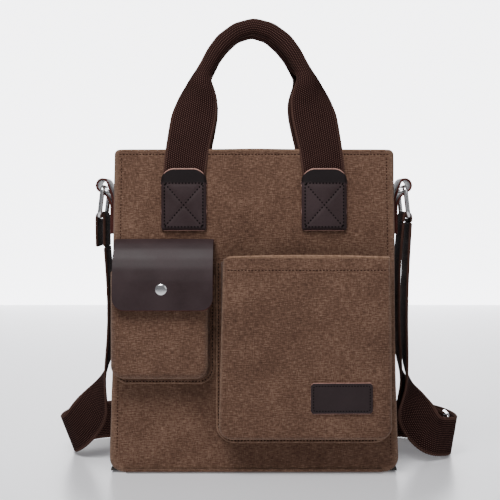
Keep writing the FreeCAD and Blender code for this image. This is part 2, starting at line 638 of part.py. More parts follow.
def build_strap_fold(label, hand, drop):
    """Webbing folded over a ring's bottom bar, with its two layers hanging side by side as far as drop."""
    bar = ring_bar(hand)
    inner = size("ring_wire") + size("clearance")
    outer = inner + size("strap_thick")
    low = bar.z - drop
    wide = size("strap_width")

    def arch(radius):
        start = bar - Vector(0, wide / 2, 0)
        top = Part.makeCylinder(radius, wide, start, Vector(0, 1, 0))
        legs = Part.makeBox(2 * radius, wide, bar.z - low, Vector(bar.x - radius, -wide / 2, low))
        return top.fuse(legs)
    return solid_feature(label, arch(outer).cut(arch(inner)).removeSplitter())


def cord_path(points):
    """Straight runs joined by tangent arcs, each as large as its two runs allow, and the arcs' radii."""
    route = [Vector(*point) for point in points]
    edges, radii, start = [], [], route[0]
    for before, corner, after in zip(route, route[1:], route[2:]):
        run_in, run_out = corner - before, after - corner
        half_turn = run_in.getAngle(run_out) / 2
        reach = 0.45 * min(run_in.Length, run_out.Length)
        first = corner - run_in.normalize() * reach
        last = corner + run_out.normalize() * reach
        towards = ((first + last) * 0.5 - corner).normalize()
        radius = reach / math.tan(half_turn)
        middle = corner + towards * (radius / math.cos(half_turn) - radius)
        edges += [Part.LineSegment(start, first).toShape(), Part.Arc(first, middle, last).toShape()]
        radii.append(radius)
        start = last
    edges.append(Part.LineSegment(start, route[-1]).toShape())
    return Part.Wire(edges), radii


def build_strap(label, points, widths):
    """Flat webbing along a route; widths are the directions of its width, as (share of length, way)."""
    path, radii = cord_path(points)
    length = path.Length
    sections, travelled = [], 0.0
    for edge in path.Edges:
        pieces = 1 if edge.Curve.TypeId == "Part::GeomLine" else 4
        first, last = edge.ParameterRange
        for step in range(pieces + 1 if edge.isSame(path.Edges[-1]) else pieces):
            here = first + (last - first) * step / pieces
            share = (travelled + edge.Length * step / pieces) / length
            sections.append(strap_section(edge.valueAt(here), edge.tangentAt(here), width_at(widths, share)))
        travelled += edge.Length
    strap = ruled_solid(sections)
    full = size("strap_width") * size("strap_thick") * length
    print(f"{label}: length {length:.0f}, volume {strap.Volume / full:.3f} of section x length, "
          f"radii {' '.join(f'{radius:.0f}' for radius in radii)}")
    return solid_feature(label, strap)


def width_at(widths, share):
    """Direction of the strap's width at a share of its length, turned smoothly between stations."""
    for (near, start), (far, end) in zip(widths, widths[1:]):
        if share <= far:
            move = (share - near) / (far - near)
            smooth = move * move * (3 - 2 * move)
            return start * (1 - smooth) + end * smooth
    return widths[-1][1]


def strap_section(middle, along, wide):
    """Four corners of the webbing's section, square to its path."""
    square = (wide - along * wide.dot(along)).normalize()
    through = along.cross(square).normalize() * (size("strap_thick") / 2)
    half = square * (size("strap_width") / 2)
    return [middle + half - through, middle + half + through,
            middle - half + through, middle - half - through]


def build_adjuster():
    """Metal three-bar adjuster standing on its edge, with its middle bar as a separate pin."""
    tall, deep, thick = size("adjuster_tall"), size("adjuster_long"), size("adjuster_thick")
    bar = size("adjuster_bar")
    frame = Part.makeBox(thick, deep, tall, Vector(-thick / 2, -deep / 2, -tall / 2))
    frame = frame.makeFillet(bar, [edge for edge in frame.Edges if abs(edge.tangentAt(0).x) > 0.99])
    hole = Part.makeBox(2 * thick, deep - 2 * bar, tall - 2 * bar,
                        Vector(-thick, -deep / 2 + bar, -tall / 2 + bar))
    pin_length = tall - 2 * bar
    pin = Part.makeCylinder(size("adjuster_pin"), pin_length, Vector(0, 0, -pin_length / 2))
    place = Placement(Vector(size("adjuster_side"), size("adjuster_back"), size("adjuster_middle")),
                      Rotation(Vector(0, 1, 0), size("adjuster_lean")))
    nodes = []
    for label, shape in (("strap_adjuster", frame.cut(hole)), ("strap_adjuster_pin", pin)):
        feature = solid_feature(label, shape)
        feature.Placement = place
        nodes.append(feature)
    return nodes


def build_strap_parts():
    """Shoulder strap: a fold on each ring, the long run, the two right-hand layers and the adjuster."""
    nodes = [build_strap_fold("strap_fold_left", LEFT, size("strap_fold_drop")),
             build_strap_fold("strap_fold_right", RIGHT, size("strap_turn_drop"))]
    nodes.append(build_strap("strap_main", STRAP_MAIN,
                             [(0, HANGING), (0.14, HANGING), (0.27, STANDING_LEFT), (0.31, STANDING_LEFT),
                              (0.40, STANDING_REAR), (0.80, STANDING_REAR), (1, STANDING_RIGHT)]))
    nodes.append(build_strap("strap_outer_layer", STRAP_OUTER,
                             [(0, STANDING_RIGHT), (0.19, STANDING_RIGHT), (0.58, HANGING), (1, HANGING)]))
    nodes.append(build_strap("strap_inner_layer", STRAP_INNER,
                             [(0, HANGING), (0.5, HANGING), (0.91, STANDING_RIGHT), (1, STANDING_RIGHT)]))
    return nodes + build_adjuster()


def check_and_write(nodes):
    """Stop on any failed object, then write one file for each piece."""
    doc.recompute()
    for thing in doc.Objects:
        if {"Invalid", "Error"} & set(thing.State):
            raise RuntimeError(f"{thing.Label} failed: {thing.State}")
    os.makedirs("parts", exist_ok=True)
    for node in nodes:
        if node.Shape.isNull() or not node.Shape.isValid():
            raise RuntimeError(f"{node.Label} has no valid shape")
        node.Shape.exportStep(f"parts/{node.Label}.step")
    print(f"{len(nodes)} pieces written")


fill_sheet()
pieces = build_shell() + build_piping() + build_zip()
pieces += build_pockets() + build_flap() + build_leather_patches()
pieces += [build_handle("front_handle", FRONT), build_handle("rear_handle", REAR)]
pieces += build_tabs_and_rings() + build_strap_parts()
check_and_write(pieces)
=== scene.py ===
import math

import bpy
import numpy as np
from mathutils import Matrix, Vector, noise


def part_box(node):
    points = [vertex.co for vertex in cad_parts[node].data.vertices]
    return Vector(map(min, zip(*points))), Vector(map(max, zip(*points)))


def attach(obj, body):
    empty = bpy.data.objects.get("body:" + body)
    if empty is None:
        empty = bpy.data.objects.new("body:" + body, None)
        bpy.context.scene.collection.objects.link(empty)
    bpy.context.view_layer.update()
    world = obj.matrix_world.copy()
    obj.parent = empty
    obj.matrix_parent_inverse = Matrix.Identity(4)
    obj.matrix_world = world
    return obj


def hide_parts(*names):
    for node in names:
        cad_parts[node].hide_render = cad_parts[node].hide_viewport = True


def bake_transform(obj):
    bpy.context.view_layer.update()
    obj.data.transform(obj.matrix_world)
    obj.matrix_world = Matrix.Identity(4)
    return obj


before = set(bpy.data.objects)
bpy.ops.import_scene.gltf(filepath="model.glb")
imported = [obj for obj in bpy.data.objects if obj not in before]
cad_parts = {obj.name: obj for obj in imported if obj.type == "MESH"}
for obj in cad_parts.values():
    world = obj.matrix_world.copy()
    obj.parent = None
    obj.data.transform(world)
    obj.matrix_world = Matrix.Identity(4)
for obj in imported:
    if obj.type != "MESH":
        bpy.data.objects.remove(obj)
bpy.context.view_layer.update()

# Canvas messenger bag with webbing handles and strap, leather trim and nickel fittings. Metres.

MM = 0.001

# ---------------------------------------------------------------- measures, from the frame
PANEL_LOW, PANEL_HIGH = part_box("front_panel")
CLOTH = 2.0 * MM
TOP = PANEL_HIGH.z
HALF_WIDTH = (PANEL_HIGH.x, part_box("left_gusset")[1].x * -1 + CLOTH)
HALF_DEPTH = (-PANEL_LOW.y, -PANEL_HIGH.y + CLOTH)
LEAN = math.atan((HALF_DEPTH[0] - HALF_DEPTH[1]) / TOP)
SEAM_RADIUS = 6 * MM
LEATHER = 2.2 * MM
WEBBING = 2.4 * MM
LEFT, RIGHT = -1, 1
FRONT, REAR = -1, 1


# ---------------------------------------------------------------- camera, light and floor
def build_camera():
    """Camera at a little over a metre, level with the bag's shoulders and looking slightly down."""
    data = bpy.data.cameras.new("camera")
    data.lens = 72
    data.sensor_width = 36
    camera = bpy.data.objects.new("camera", data)
    camera.location = (-4 * MM, PANEL_LOW.y - 1.0, 275 * MM)
    camera.rotation_euler = (math.radians(90 - 2.8), 0, 0)
    bpy.context.collection.objects.link(camera)
    bpy.context.scene.camera = camera


SURROUND = 0.2
BACKDROP_GLOW, FLOOR_GLOW = 5.0, 0.12


def build_light(name, place, aim, size, power):
    """Soft square lamp turned towards a point."""
    data = bpy.data.lights.new(name, "AREA")
    data.shape = "SQUARE"
    data.size = size
    data.energy = power
    lamp = bpy.data.objects.new(name, data)
    lamp.location = place
    lamp.rotation_euler = (Vector(aim) - Vector(place)).to_track_quat("-Z", "Y").to_euler()
    bpy.context.collection.objects.link(lamp)


def build_studio():
    """Pale glossy floor, a lit white backdrop, a dim even surround and two soft lamps."""
    world = bpy.data.worlds.new("surround")
    world.use_nodes = True
    background = world.node_tree.nodes["Background"]
    background.inputs["Color"].default_value = (0.97, 0.97, 1.0, 1)
    background.inputs["Strength"].default_value = SURROUND
    bpy.context.scene.world = world
    build_light("key", (-0.25, -0.62, 1.15), (0, 0, 0.4), 0.5, 14)
    build_light("fill", (1.1, -1.2, 0.9), (0, 0, 0.3), 1.0, 3)
    near, far = -3.0, 1.6
    floor_reach, wall_reach, wall_top = 3.0, 0.8, 0.95
    floor = [(-floor_reach, near, 0), (floor_reach, near, 0), (floor_reach, far, 0), (-floor_reach, far, 0)]
    wall = [(-wall_reach, far, 0), (wall_reach, far, 0),
            (wall_reach, far, wall_top), (-wall_reach, far, wall_top)]
    build_stage("floor", floor, 0.32, FLOOR_GLOW)
    build_stage("backdrop", wall, 0.9, BACKDROP_GLOW)


def build_stage(name, corners, roughness, glow):
    """Flat pale card of the studio that gives off light of its own."""
    mesh = bpy.data.meshes.new(name)
    mesh.from_pydata(corners, [], [(0, 1, 2, 3)])
    card = bpy.data.objects.new(name, mesh)
    bpy.context.collection.objects.link(card)
    material = new_material(f"{name}_card", (0.88, 0.88, 0.91), roughness)
    shader = material.node_tree.nodes["Principled BSDF"]
    shader.inputs["Emission Color"].default_value = (0.97, 0.97, 1.0, 1)
    shader.inputs["Emission Strength"].default_value = glow
    card.data.materials.append(material)


# ---------------------------------------------------------------- materials
def linear(colour):
    """An sRGB colour, 0 to 255, as the linear values that shaders take."""
    shares = [channel / 255 for channel in colour]
    return tuple(s / 12.92 if s <= 0.04045 else ((s + 0.055) / 1.055) ** 2.4 for s in shares)


def new_material(name, colour, roughness, metallic=0.0):
    """Material with a Principled shader and its plain values set on the shader itself."""
    material = bpy.data.materials.new(name)
    material.use_nodes = True
    shader = material.node_tree.nodes["Principled BSDF"]
    shader.inputs["Base Color"].default_value = (*colour, 1)
    shader.inputs["Roughness"].default_value = roughness
    shader.inputs["Metallic"].default_value = metallic
    return material


class Nodes:
    """Short ways to add and join a material's nodes."""

    def __init__(self, material):
        self.tree = material.node_tree
        self.shader = self.tree.nodes["Principled BSDF"]

    def add(self, kind, **settings):
        """New node; each setting goes to the input of that name, or else to the property."""
        node = self.tree.nodes.new(kind)
        for key, value in settings.items():
            if key in node.inputs:
                node.inputs[key].default_value = value
            else:
                setattr(node, key, value)
        return node

    def join(self, source, target):
        self.tree.links.new(source, target)

    def feed(self, target, value):
        """Joins a socket to an input, or sets the input to a number."""
        if isinstance(value, (int, float)):
            target.default_value = value
        else:
            self.join(value, target)

    def math(self, operation, first, second=0.0, third=None):
        node = self.add("ShaderNodeMath", operation=operation)
        self.feed(node.inputs[0], first)
        self.feed(node.inputs[1], second)
        if third is not None:
            self.feed(node.inputs[2], third)
        return node.outputs[0]

    def weave_place(self):
        """The cloth's own coordinates in metres: along its first and its second thread."""
        place = self.add("ShaderNodeUVMap", uv_map="weave")
        split = self.add("ShaderNodeSeparateXYZ")
        self.join(place.outputs[0], split.inputs[0])
        return place.outputs[0], split.outputs[0], split.outputs[1]

    def object_place(self):
        return self.add("ShaderNodeTexCoord").outputs["Object"]

    def stretched(self, place, along, across):
        """Coordinates scaled by different amounts along their first two axes."""
        node = self.add("ShaderNodeMapping")
        node.inputs["Scale"].default_value = (along, across, 1)
        self.join(place, node.inputs["Vector"])
        return node.outputs[0]

    def noise(self, place, scale, detail=2.0, roughness=0.5):
        node = self.add("ShaderNodeTexNoise", Scale=scale, Detail=detail, Roughness=roughness)
        self.join(place, node.inputs["Vector"])
        return node.outputs["Fac"]

    def ramp(self, factor, stops):
        """Colour ramp from (position, sRGB colour) pairs."""
        node = self.add("ShaderNodeValToRGB")
        while len(node.color_ramp.elements) < len(stops):
            node.color_ramp.elements.new(0.5)
        for element, (position, colour) in zip(node.color_ramp.elements, stops):
            element.position = position
            element.color = (*linear(colour), 1)
        self.join(factor, node.inputs[0])
        return node.outputs[0]

    def mix(self, factor, first, second):
        """Colour between two, each an sRGB colour or a socket."""
        node = self.add("ShaderNodeMix", data_type="RGBA", blend_type="MIX")
        self.feed(node.inputs[0], factor)
        for socket, value in ((node.inputs[6], first), (node.inputs[7], second)):
            if isinstance(value, tuple):
                socket.default_value = (*linear(value), 1)
            else:
                self.join(value, socket)
        return node.outputs[2]

    def attribute(self, name):
        return self.add("ShaderNodeAttribute", attribute_name=name).outputs["Fac"]

    def bump(self, height, distance, strength):
        """Raises the surface by a height, through the shader's normal."""
        node = self.add("ShaderNodeBump", Strength=strength, Distance=distance)
        self.join(height, node.inputs["Height"])
        self.join(node.outputs[0], self.shader.inputs["Normal"])


def canvas_material(name, dark, middle, light, worn):
    """Stone-washed canvas: crossing yarns, heathered specks, cloudy wash marks and paler wear, with a painted
    highlight in the same paler colour along the pocket mouths.
    """
    material = new_material(name, linear(middle), 0.92)
    nodes = Nodes(material)
    nodes.shader.inputs["Sheen Weight"].default_value = 0.12
    nodes.shader.inputs["Sheen Roughness"].default_value = 0.5
    nodes.shader.inputs["Specular IOR Level"].default_value = 0.2
    place, along, across = nodes.weave_place()
    yarn = 0.95 * MM
    warp = nodes.math("SINE", nodes.math("MULTIPLY", along, math.tau / yarn))
    weft = nodes.math("SINE", nodes.math("MULTIPLY", across, math.tau / yarn))
    crossing = nodes.math("MULTIPLY", warp, weft)
    streak_up = nodes.noise(nodes.stretched(place, 900, 210), 1.0, 2.0, 0.6)
    streak_along = nodes.noise(nodes.stretched(place, 190, 950), 1.0, 2.0, 0.6)
    streaks = nodes.math("MULTIPLY_ADD", streak_along, 0.62, nodes.math("MULTIPLY", streak_up, 0.38))
    cloud = nodes.noise(place, 34.0, 3.0, 0.6)
    patches = nodes.noise(place, 9.0, 2.0, 0.5)
    tone = nodes.math("MULTIPLY_ADD", streaks, 1.5, -0.25)
    tone = nodes.math("MULTIPLY_ADD", crossing, 0.12, tone)
    tone = nodes.math("ADD", tone, nodes.math("MULTIPLY_ADD", cloud, 0.36, -0.18))
    tone = nodes.math("ADD", tone, nodes.math("MULTIPLY_ADD", patches, 0.26, -0.13))
    colour = nodes.ramp(tone, ((0.12, dark), (0.5, middle), (0.86, light)))
    wear_and_painted_light = nodes.math("MULTIPLY", nodes.attribute("wear_and_painted_light"), nodes.math("MULTIPLY_ADD", streaks, 1.6, -0.1))
    nodes.join(nodes.mix(wear_and_painted_light, colour, worn), nodes.shader.inputs["Base Color"])
    grain = nodes.math("MULTIPLY_ADD", crossing, 0.35, nodes.math("MULTIPLY", streaks, 1.3))
    nodes.bump(grain, 0.5 * MM, 0.9)
    return material


def webbing_material(name, dark, dots):
    """Heavy twill webbing: raised floats in slanting rows over a dark ground."""
    material = new_material(name, linear(dark), 0.95)
    nodes = Nodes(material)
    nodes.shader.inputs["Specular IOR Level"].default_value = 0.02
    place, along, across = nodes.weave_place()
    row, step, slant = 2.0 * MM, 1.9 * MM, 0.55
    shifted = nodes.math("MULTIPLY_ADD", across, slant, along)
    float_wave = nodes.math("SINE", nodes.math("MULTIPLY", shifted, math.tau / step))
    row_wave = nodes.math("SINE", nodes.math("MULTIPLY", across, math.tau / row))
    floats = nodes.math("MULTIPLY", nodes.math("MULTIPLY_ADD", float_wave, 0.5, 0.5),
                        nodes.math("MULTIPLY_ADD", row_wave, 0.5, 0.5))
    fuzz = nodes.noise(place, 2600.0, 1.0)
    peaks = nodes.math("POWER", floats, 2.6)
    lift = nodes.math("MULTIPLY", peaks, nodes.math("MULTIPLY_ADD", fuzz, 1.3, 0.0))
    ground = nodes.ramp(nodes.noise(place, 60.0), ((0.3, dark), (0.7, tuple(c * 1.12 for c in dark))))
    colour = nodes.mix(lift, ground, dots)
    # Paler towards a rubbed colour where the stored attribute is set: wear on the strips' edges, a painted
    # highlight along the handle grips' crest
    worn = nodes.mix(nodes.math("MULTIPLY", nodes.attribute("wear_and_painted_light"), 0.55), colour, (118, 88, 78))
    nodes.join(worn, nodes.shader.inputs["Base Color"])
    nodes.bump(nodes.math("MULTIPLY_ADD", fuzz, 0.2, floats), 0.5 * MM, 0.8)
    return material


def leather_material(name, colour, lighter):
    """Smooth satin leather with a fine pebbled grain and soft rubbed patches."""
    material = new_material(name, linear(colour), 0.42)
    nodes = Nodes(material)
    nodes.shader.inputs["Specular IOR Level"].default_value = 0.26
    place = nodes.object_place()
    cells = nodes.add("ShaderNodeTexVoronoi", Scale=1500.0, feature="SMOOTH_F1")
    nodes.join(place, cells.inputs["Vector"])
    fine = nodes.noise(place, 420.0, 3.0, 0.6)
    rubbed = nodes.noise(place, 34.0, 2.0, 0.5)
    grain = nodes.ramp(nodes.math("MULTIPLY_ADD", fine, 0.25, nodes.math("MULTIPLY", rubbed, 0.75)),
                       ((0.3, colour), (0.75, lighter)))
    # Painted shade: where the stored attribute is set the leather is darkened towards near-black (the handle
    # patches' lips); the label's even darkening comes the same way
    nodes.join(nodes.mix(nodes.attribute("wear_and_painted_light"), grain, (16, 9, 10)), nodes.shader.inputs["Base Color"])
    nodes.join(nodes.math("MULTIPLY_ADD", rubbed, 0.2, 0.42), nodes.shader.inputs["Roughness"])
    nodes.bump(nodes.math("MULTIPLY_ADD", cells.outputs["Distance"], 0.5, fine), 0.12 * MM, 0.5)
    return material


def metal_material(name, shade, roughness):
    """Nickel plate with faint handling marks."""
    material = new_material(name, (shade, shade, shade * 1.01), roughness, 1.0)
    nodes = Nodes(material)
    marks = nodes.noise(nodes.stretched(nodes.object_place(), 400, 2500), 1.0, 2.0, 0.6)
    nodes.join(nodes.math("MULTIPLY_ADD", marks, 0.16, roughness - 0.06), nodes.shader.inputs["Roughness"])
    nodes.bump(marks, 0.01 * MM, 0.25)
    return material


def fibre_material(name, colour, dark, light, roughness, scale, detail, coarse, depth, strength):
    """Matt material made of fine fibres, shaded between a dark and a light colour."""
    material = new_material(name, linear(colour), roughness)
    nodes = Nodes(material)
    fibres = nodes.noise(nodes.object_place(), scale, detail, coarse)
    nodes.join(nodes.ramp(fibres, ((0.3, dark), (0.7, light))), nodes.shader.inputs["Base Color"])
    nodes.bump(fibres, depth, strength)
    return material


def thread_material(name, colour):
    """Twisted sewing thread."""
    dark, light = tuple(c * 0.7 for c in colour), tuple(min(c * 1.3, 255) for c in colour)
    material = fibre_material(name, colour, dark, light, 0.85, 1800.0, 2.0, 0.5, 0.1 * MM, 0.5)
    material.node_tree.nodes["Principled BSDF"].inputs["Specular IOR Level"].default_value = 0.12
    return material


MATERIALS = {
    "canvas": canvas_material("canvas", (56, 36, 26), (100, 72, 57), (150, 118, 98), (172, 138, 112)),
    "lining_cloth": canvas_material("lining_cloth", (70, 60, 48), (92, 80, 64), (116, 102, 84),
                                    (130, 116, 96)),
    "webbing": webbing_material("webbing", (31, 18, 17), (142, 108, 98)),
    "zip_tape": webbing_material("zip_tape", (38, 28, 24), (70, 54, 46)),
    "dark_leather": leather_material("dark_leather", (44, 31, 32), (60, 46, 48)),
    "dark_edge": thread_material("dark_leather_edge", (78, 44, 40)),
    "leather_edge": fibre_material("leather_raw_edge", (168, 124, 112), (128, 86, 76), (196, 152, 138),
                                   0.8, 900.0, 3.0, 0.7, 0.2 * MM, 0.5),
    "bright_metal": metal_material("bright_metal", 0.82, 0.16),
    "zip_metal": metal_material("zip_metal", 0.6, 0.32),
    "thread": thread_material("thread", (44, 28, 22)),
    "dark_thread": thread_material("dark_thread", (13, 8, 8)),
    "stiffener_board": fibre_material("board", (42, 40, 38), (34, 32, 30), (58, 54, 50),
                                      0.85, 700.0, 3.0, 0.5, 0.1 * MM, 0.4),
}


# ---------------------------------------------------------------- meshes
def unit(vectors):
    """The same directions, each one long."""
    return vectors / np.maximum(np.linalg.norm(vectors, axis=-1, keepdims=True), 1e-12)


def smooth_step(value):
    """Rises softly from 0 to 1 as the value does, and stays level outside."""
    value = np.clip(value, 0.0, 1.0)
    return value * value * (3 - 2 * value)


def eased(count):
    """Numbers from 0 to 1, closer together near both ends."""
    return 0.5 - 0.5 * np.cos(np.linspace(0, math.pi, count))


def places(x, y, z):
    """Array of points from three coordinates, each an array or one number."""
    return np.stack(np.broadcast_arrays(x, y, z), axis=-1)


def repeated(direction, points):
    """The same direction for each of a row's points."""
    return np.tile(np.array(direction, float), (len(points), 1))


def ripple(x, z, pitch, seed):
    """Smooth noise from -1 to 1 with bumps about a pitch apart, at every point of two arrays."""
    flat = [noise.noise(Vector((a / pitch, b / pitch, seed))) for a, b in zip(np.ravel(x), np.ravel(z))]
    return np.array(flat).reshape(np.shape(x))


def arc_lengths(points):
    """Distance along a row of points, from its start."""
    steps = np.linalg.norm(np.diff(points, axis=0), axis=-1)
    return np.concatenate([[0.0], np.cumsum(steps)])


def resample(points, spacing):
    """The same line with evenly spaced points."""
    count = max(int(round(arc_lengths(np.asarray(points, float))[-1] / spacing)) + 1, 3)
    return spread(points, count)


def read_off(distance, travelled, values):
    """Values at distances along a line, one column at a time."""
    return np.stack([np.interp(distance, travelled, column) for column in values.T], axis=-1)


def spread(points, count):
    """The same line with a set number of evenly spaced points."""
    points = np.asarray(points, float)
    travelled = arc_lengths(points)
    return read_off(np.linspace(0, travelled[-1], count), travelled, points)


def rounded_rectangle(half_across, half_up, radius, steps=6):
    """Closed outline of a rectangle with round corners, anticlockwise from its right side."""
    points = []
    for quarter, (x, y) in enumerate(((1, 1), (-1, 1), (-1, -1), (1, -1))):
        for share in np.linspace(0, 1, steps + 1):
            angle = (quarter + share) * math.pi / 2
            points.append((x * (half_across - radius) + radius * math.cos(angle),
                           y * (half_up - radius) + radius * math.sin(angle)))
    return np.array(points)


def rounded_line(corners, spacing, passes):
    """Line through the corners with its bends softened; more passes give rounder bends."""
    line = resample(corners, spacing)
    for _ in range(passes):
        line[1:-1] = line[1:-1] * 0.5 + (line[:-2] + line[2:]) * 0.25
    return line


def add_object(name, vertices, faces, materials, slots=None, weave=None, wear_and_painted_light=None, sharp=50):
    """Mesh object from arrays, smooth shaded, with its cloth coordinates stored on it and an attribute per
    point that carries wear together with painted shade and painted highlights.
    """
    mesh = bpy.data.meshes.new(name)
    mesh.from_pydata(np.asarray(vertices).tolist(), [], faces)
    for material in materials:
        mesh.materials.append(MATERIALS[material])
    if slots is not None:
        mesh.polygons.foreach_set("material_index", np.asarray(slots, np.int32))
    mesh.polygons.foreach_set("use_smooth", np.ones(len(mesh.polygons), bool))
    if weave is not None:
        layer = mesh.uv_layers.new(name="weave")
        corner_of = np.zeros(len(mesh.loops), np.int32)
        mesh.loops.foreach_get("vertex_index", corner_of)
        layer.data.foreach_set("uv", np.asarray(weave, np.float32)[corner_of].ravel())
    store = mesh.attributes.new("wear_and_painted_light", "FLOAT", "POINT")
    store.data.foreach_set("value", np.zeros(len(mesh.vertices), np.float32) if wear_and_painted_light is None
                           else np.asarray(wear_and_painted_light, np.float32))
    mesh.set_sharp_from_angle(angle=math.radians(sharp))
    mesh.update()
    thing = bpy.data.objects.new(name, mesh)
    bpy.context.collection.objects.link(thing)
    return thing


def settle(thing, body="root", stands_for=()):
    """Give a piece its body and hide the CAD nodes that it stands for."""
    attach(thing, body)
    if stands_for:
        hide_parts(*stands_for)
    return thing


def slab(name, grid, thick, material, rim=None, wear_and_painted_light=None, round_rim=0.4, weave=None, outward=0.0):
    """Closed sheet of cloth or leather around a grid of points, with rounded or raw edges.
    thick is a number or an array; outward shifts the sheet off the grid by that share of its thickness."""
    rows, columns = grid.shape[:2]
    normal = unit(np.cross(np.gradient(grid, axis=0), np.gradient(grid, axis=1)))
    depth = np.broadcast_to(np.asarray(thick, float), (rows, columns))[..., None]
    top = grid + normal * depth * (0.5 + outward)
    under = grid - normal * depth * (0.5 - outward)
    border = [(i, 0) for i in range(rows)] + [(rows - 1, j) for j in range(1, columns)]
    border += [(i, columns - 1) for i in range(rows - 2, -1, -1)]
    border += [(0, j) for j in range(columns - 2, 0, -1)]
    edge_i, edge_j = np.array(border).T
    inner_i, inner_j = np.clip(edge_i, 1, rows - 2), np.clip(edge_j, 1, columns - 2)
    away = grid[edge_i, edge_j] - grid[inner_i, inner_j]
    away -= normal[edge_i, edge_j] * np.sum(away * normal[edge_i, edge_j], axis=-1, keepdims=True)
    middle = (top + under)[edge_i, edge_j] / 2 + unit(away) * depth[edge_i, edge_j] * round_rim
    vertices = np.concatenate([top.reshape(-1, 3), under.reshape(-1, 3), middle])
    if weave is None:
        run = np.linalg.norm(np.diff(grid, axis=0), axis=-1).mean(axis=1)
        across = np.linalg.norm(np.diff(grid, axis=1), axis=-1).mean(axis=0)
        weave = np.stack(np.meshgrid(np.concatenate([[0], np.cumsum(run)]),
                                     np.concatenate([[0], np.cumsum(across)]), indexing="ij"), axis=-1)
    flat = weave.reshape(-1, 2)
    weave_all = np.concatenate([flat, flat, weave[edge_i, edge_j]])
    number = np.arange(rows * columns).reshape(rows, columns)
    a, b, c, d = (number[:-1, :-1], number[1:, :-1], number[1:, 1:], number[:-1, 1:])
    faces = np.stack([a, b, c, d], axis=-1).reshape(-1, 4)
    back = faces[:, ::-1] + rows * columns
    ring = number[edge_i, edge_j]
    after = np.roll(ring, -1)
    mid = 2 * rows * columns + np.arange(len(ring))
    mid_after = np.roll(mid, -1)
    upper = np.stack([mid, mid_after, after, ring], axis=-1)
    lower = np.stack([ring + rows * columns, after + rows * columns, mid_after, mid], axis=-1)
    all_faces = np.concatenate([faces, back, upper, lower])
    slots = np.zeros(len(all_faces), int)
    if rim:
        slots[2 * len(faces):] = 1
    worn = None
    if wear_and_painted_light is not None:
        worn = np.concatenate([np.ravel(wear_and_painted_light), np.ravel(wear_and_painted_light), np.asarray(wear_and_painted_light)[edge_i, edge_j]])
    return add_object(name, vertices, all_faces.tolist(), [material] + ([rim] if rim else []), slots,
                      weave_all, worn)


def ring_faces(rings, sides, first=0, closed=False):
    """Faces between rings of points stored one after another; an open row of rings is capped."""
    faces = []
    for i in range(rings if closed else rings - 1):
        near, far = first + i * sides, first + (i + 1) % rings * sides
        faces += [(near + j, near + (j + 1) % sides, far + (j + 1) % sides, far + j) for j in range(sides)]
    if not closed:
        faces.append(tuple(range(first + sides - 1, first - 1, -1)))
        faces.append(tuple(range(first + (rings - 1) * sides, first + rings * sides)))
    return faces


def tube(name, line, radius, material, sides, closed=False):
    """Round bar along a line."""
    line = np.asarray(line, float)
    count = len(line)
    ahead = np.roll(line, -1, axis=0) - np.roll(line, 1, axis=0)
    if not closed:
        ahead[0], ahead[-1] = line[1] - line[0], line[-1] - line[-2]
    ahead = unit(ahead)
    side = np.zeros((count, 3))
    start = Vector(ahead[0]).orthogonal()
    side[0] = start
    for i in range(1, count):
        carried = side[i - 1] - ahead[i] * np.dot(side[i - 1], ahead[i])
        side[i] = carried / np.linalg.norm(carried)
    up = np.cross(ahead, side)
    turn = np.linspace(0, math.tau, sides, endpoint=False)
    rings = line[:, None] + radius * (np.cos(turn)[None, :, None] * side[:, None]
                                      + np.sin(turn)[None, :, None] * up[:, None])
    vertices = rings.reshape(-1, 3)
    faces = ring_faces(count, sides, closed=closed)
    travelled = arc_lengths(line)
    weave = np.stack([np.repeat(travelled, sides), np.tile(turn * radius, count)], axis=-1)
    return add_object(name, vertices, faces, [material], None, weave)


STITCH_LENGTH, STITCH_GAP, THREAD_RADIUS = 2.3 * MM, 1.0 * MM, 0.42 * MM


def stitches(name, lines, material="thread", body="root", sink=0.25, length=STITCH_LENGTH, gap=STITCH_GAP,
             radius=THREAD_RADIUS):
    """Rows of sewn stitches. Each line is (points, normals): every stitch dips into the cloth at its ends."""
    sides, shares = 6, (0.0, 0.18, 0.5, 0.82, 1.0)
    lifts = (-1.1, 0.15, 0.45, 0.15, -1.1)
    widths = (0.55, 1.0, 1.05, 1.0, 0.55)
    vertices, faces = [], []
    turn = np.linspace(0, math.tau, sides, endpoint=False)
    for points, normals in lines:
        points, normals = np.asarray(points, float), np.asarray(normals, float)
        travelled = arc_lengths(points)
        count = max(int(travelled[-1] // (length + gap)), 1)
        pitch = travelled[-1] / count

        def at(distance):
            way = read_off(distance, travelled, normals)
            return read_off(distance, travelled, points), way / np.linalg.norm(way)
        for index in range(count):
            start = index * pitch + gap / 2
            first = len(vertices)
            ends = (at(start)[0], at(start + pitch - gap)[0])
            ahead = unit(ends[1] - ends[0])
            for share, lift, width in zip(shares, lifts, widths):
                place, up = at(start + (pitch - gap) * share)
                side = np.cross(ahead, up)
                centre = place + up * radius * (lift - sink + 0.25)
                vertices += [centre + radius * width * (math.cos(angle) * side + 0.8 * math.sin(angle) * up)
                             for angle in turn]
            faces += ring_faces(len(shares), sides, first)
    points = np.array(vertices)
    return settle(add_object(name, points, faces, [material], None, points[:, :2]), body)


# ---------------------------------------------------------------- the body's own surface
BOTTOM_ROUND_X, BOTTOM_ROUND_Y, TOP_ROUND = 15 * MM, 5 * MM, 5 * MM
TOP_SEAM = 5.0 * MM


def half_width(z):
    """Half of the body's width at a height."""
    return HALF_WIDTH[0] + (HALF_WIDTH[1] - HALF_WIDTH[0]) * z / TOP


def half_depth(z):
    """Half of the body's depth at a height."""
    return HALF_DEPTH[0] + (HALF_DEPTH[1] - HALF_DEPTH[0]) * z / TOP


def rounding(gap, radius):
    """How far a quarter-round edge has drawn in at a distance from the edge."""
    left = np.clip(radius - gap, 0, radius)
    return radius - np.sqrt(radius ** 2 - left ** 2)


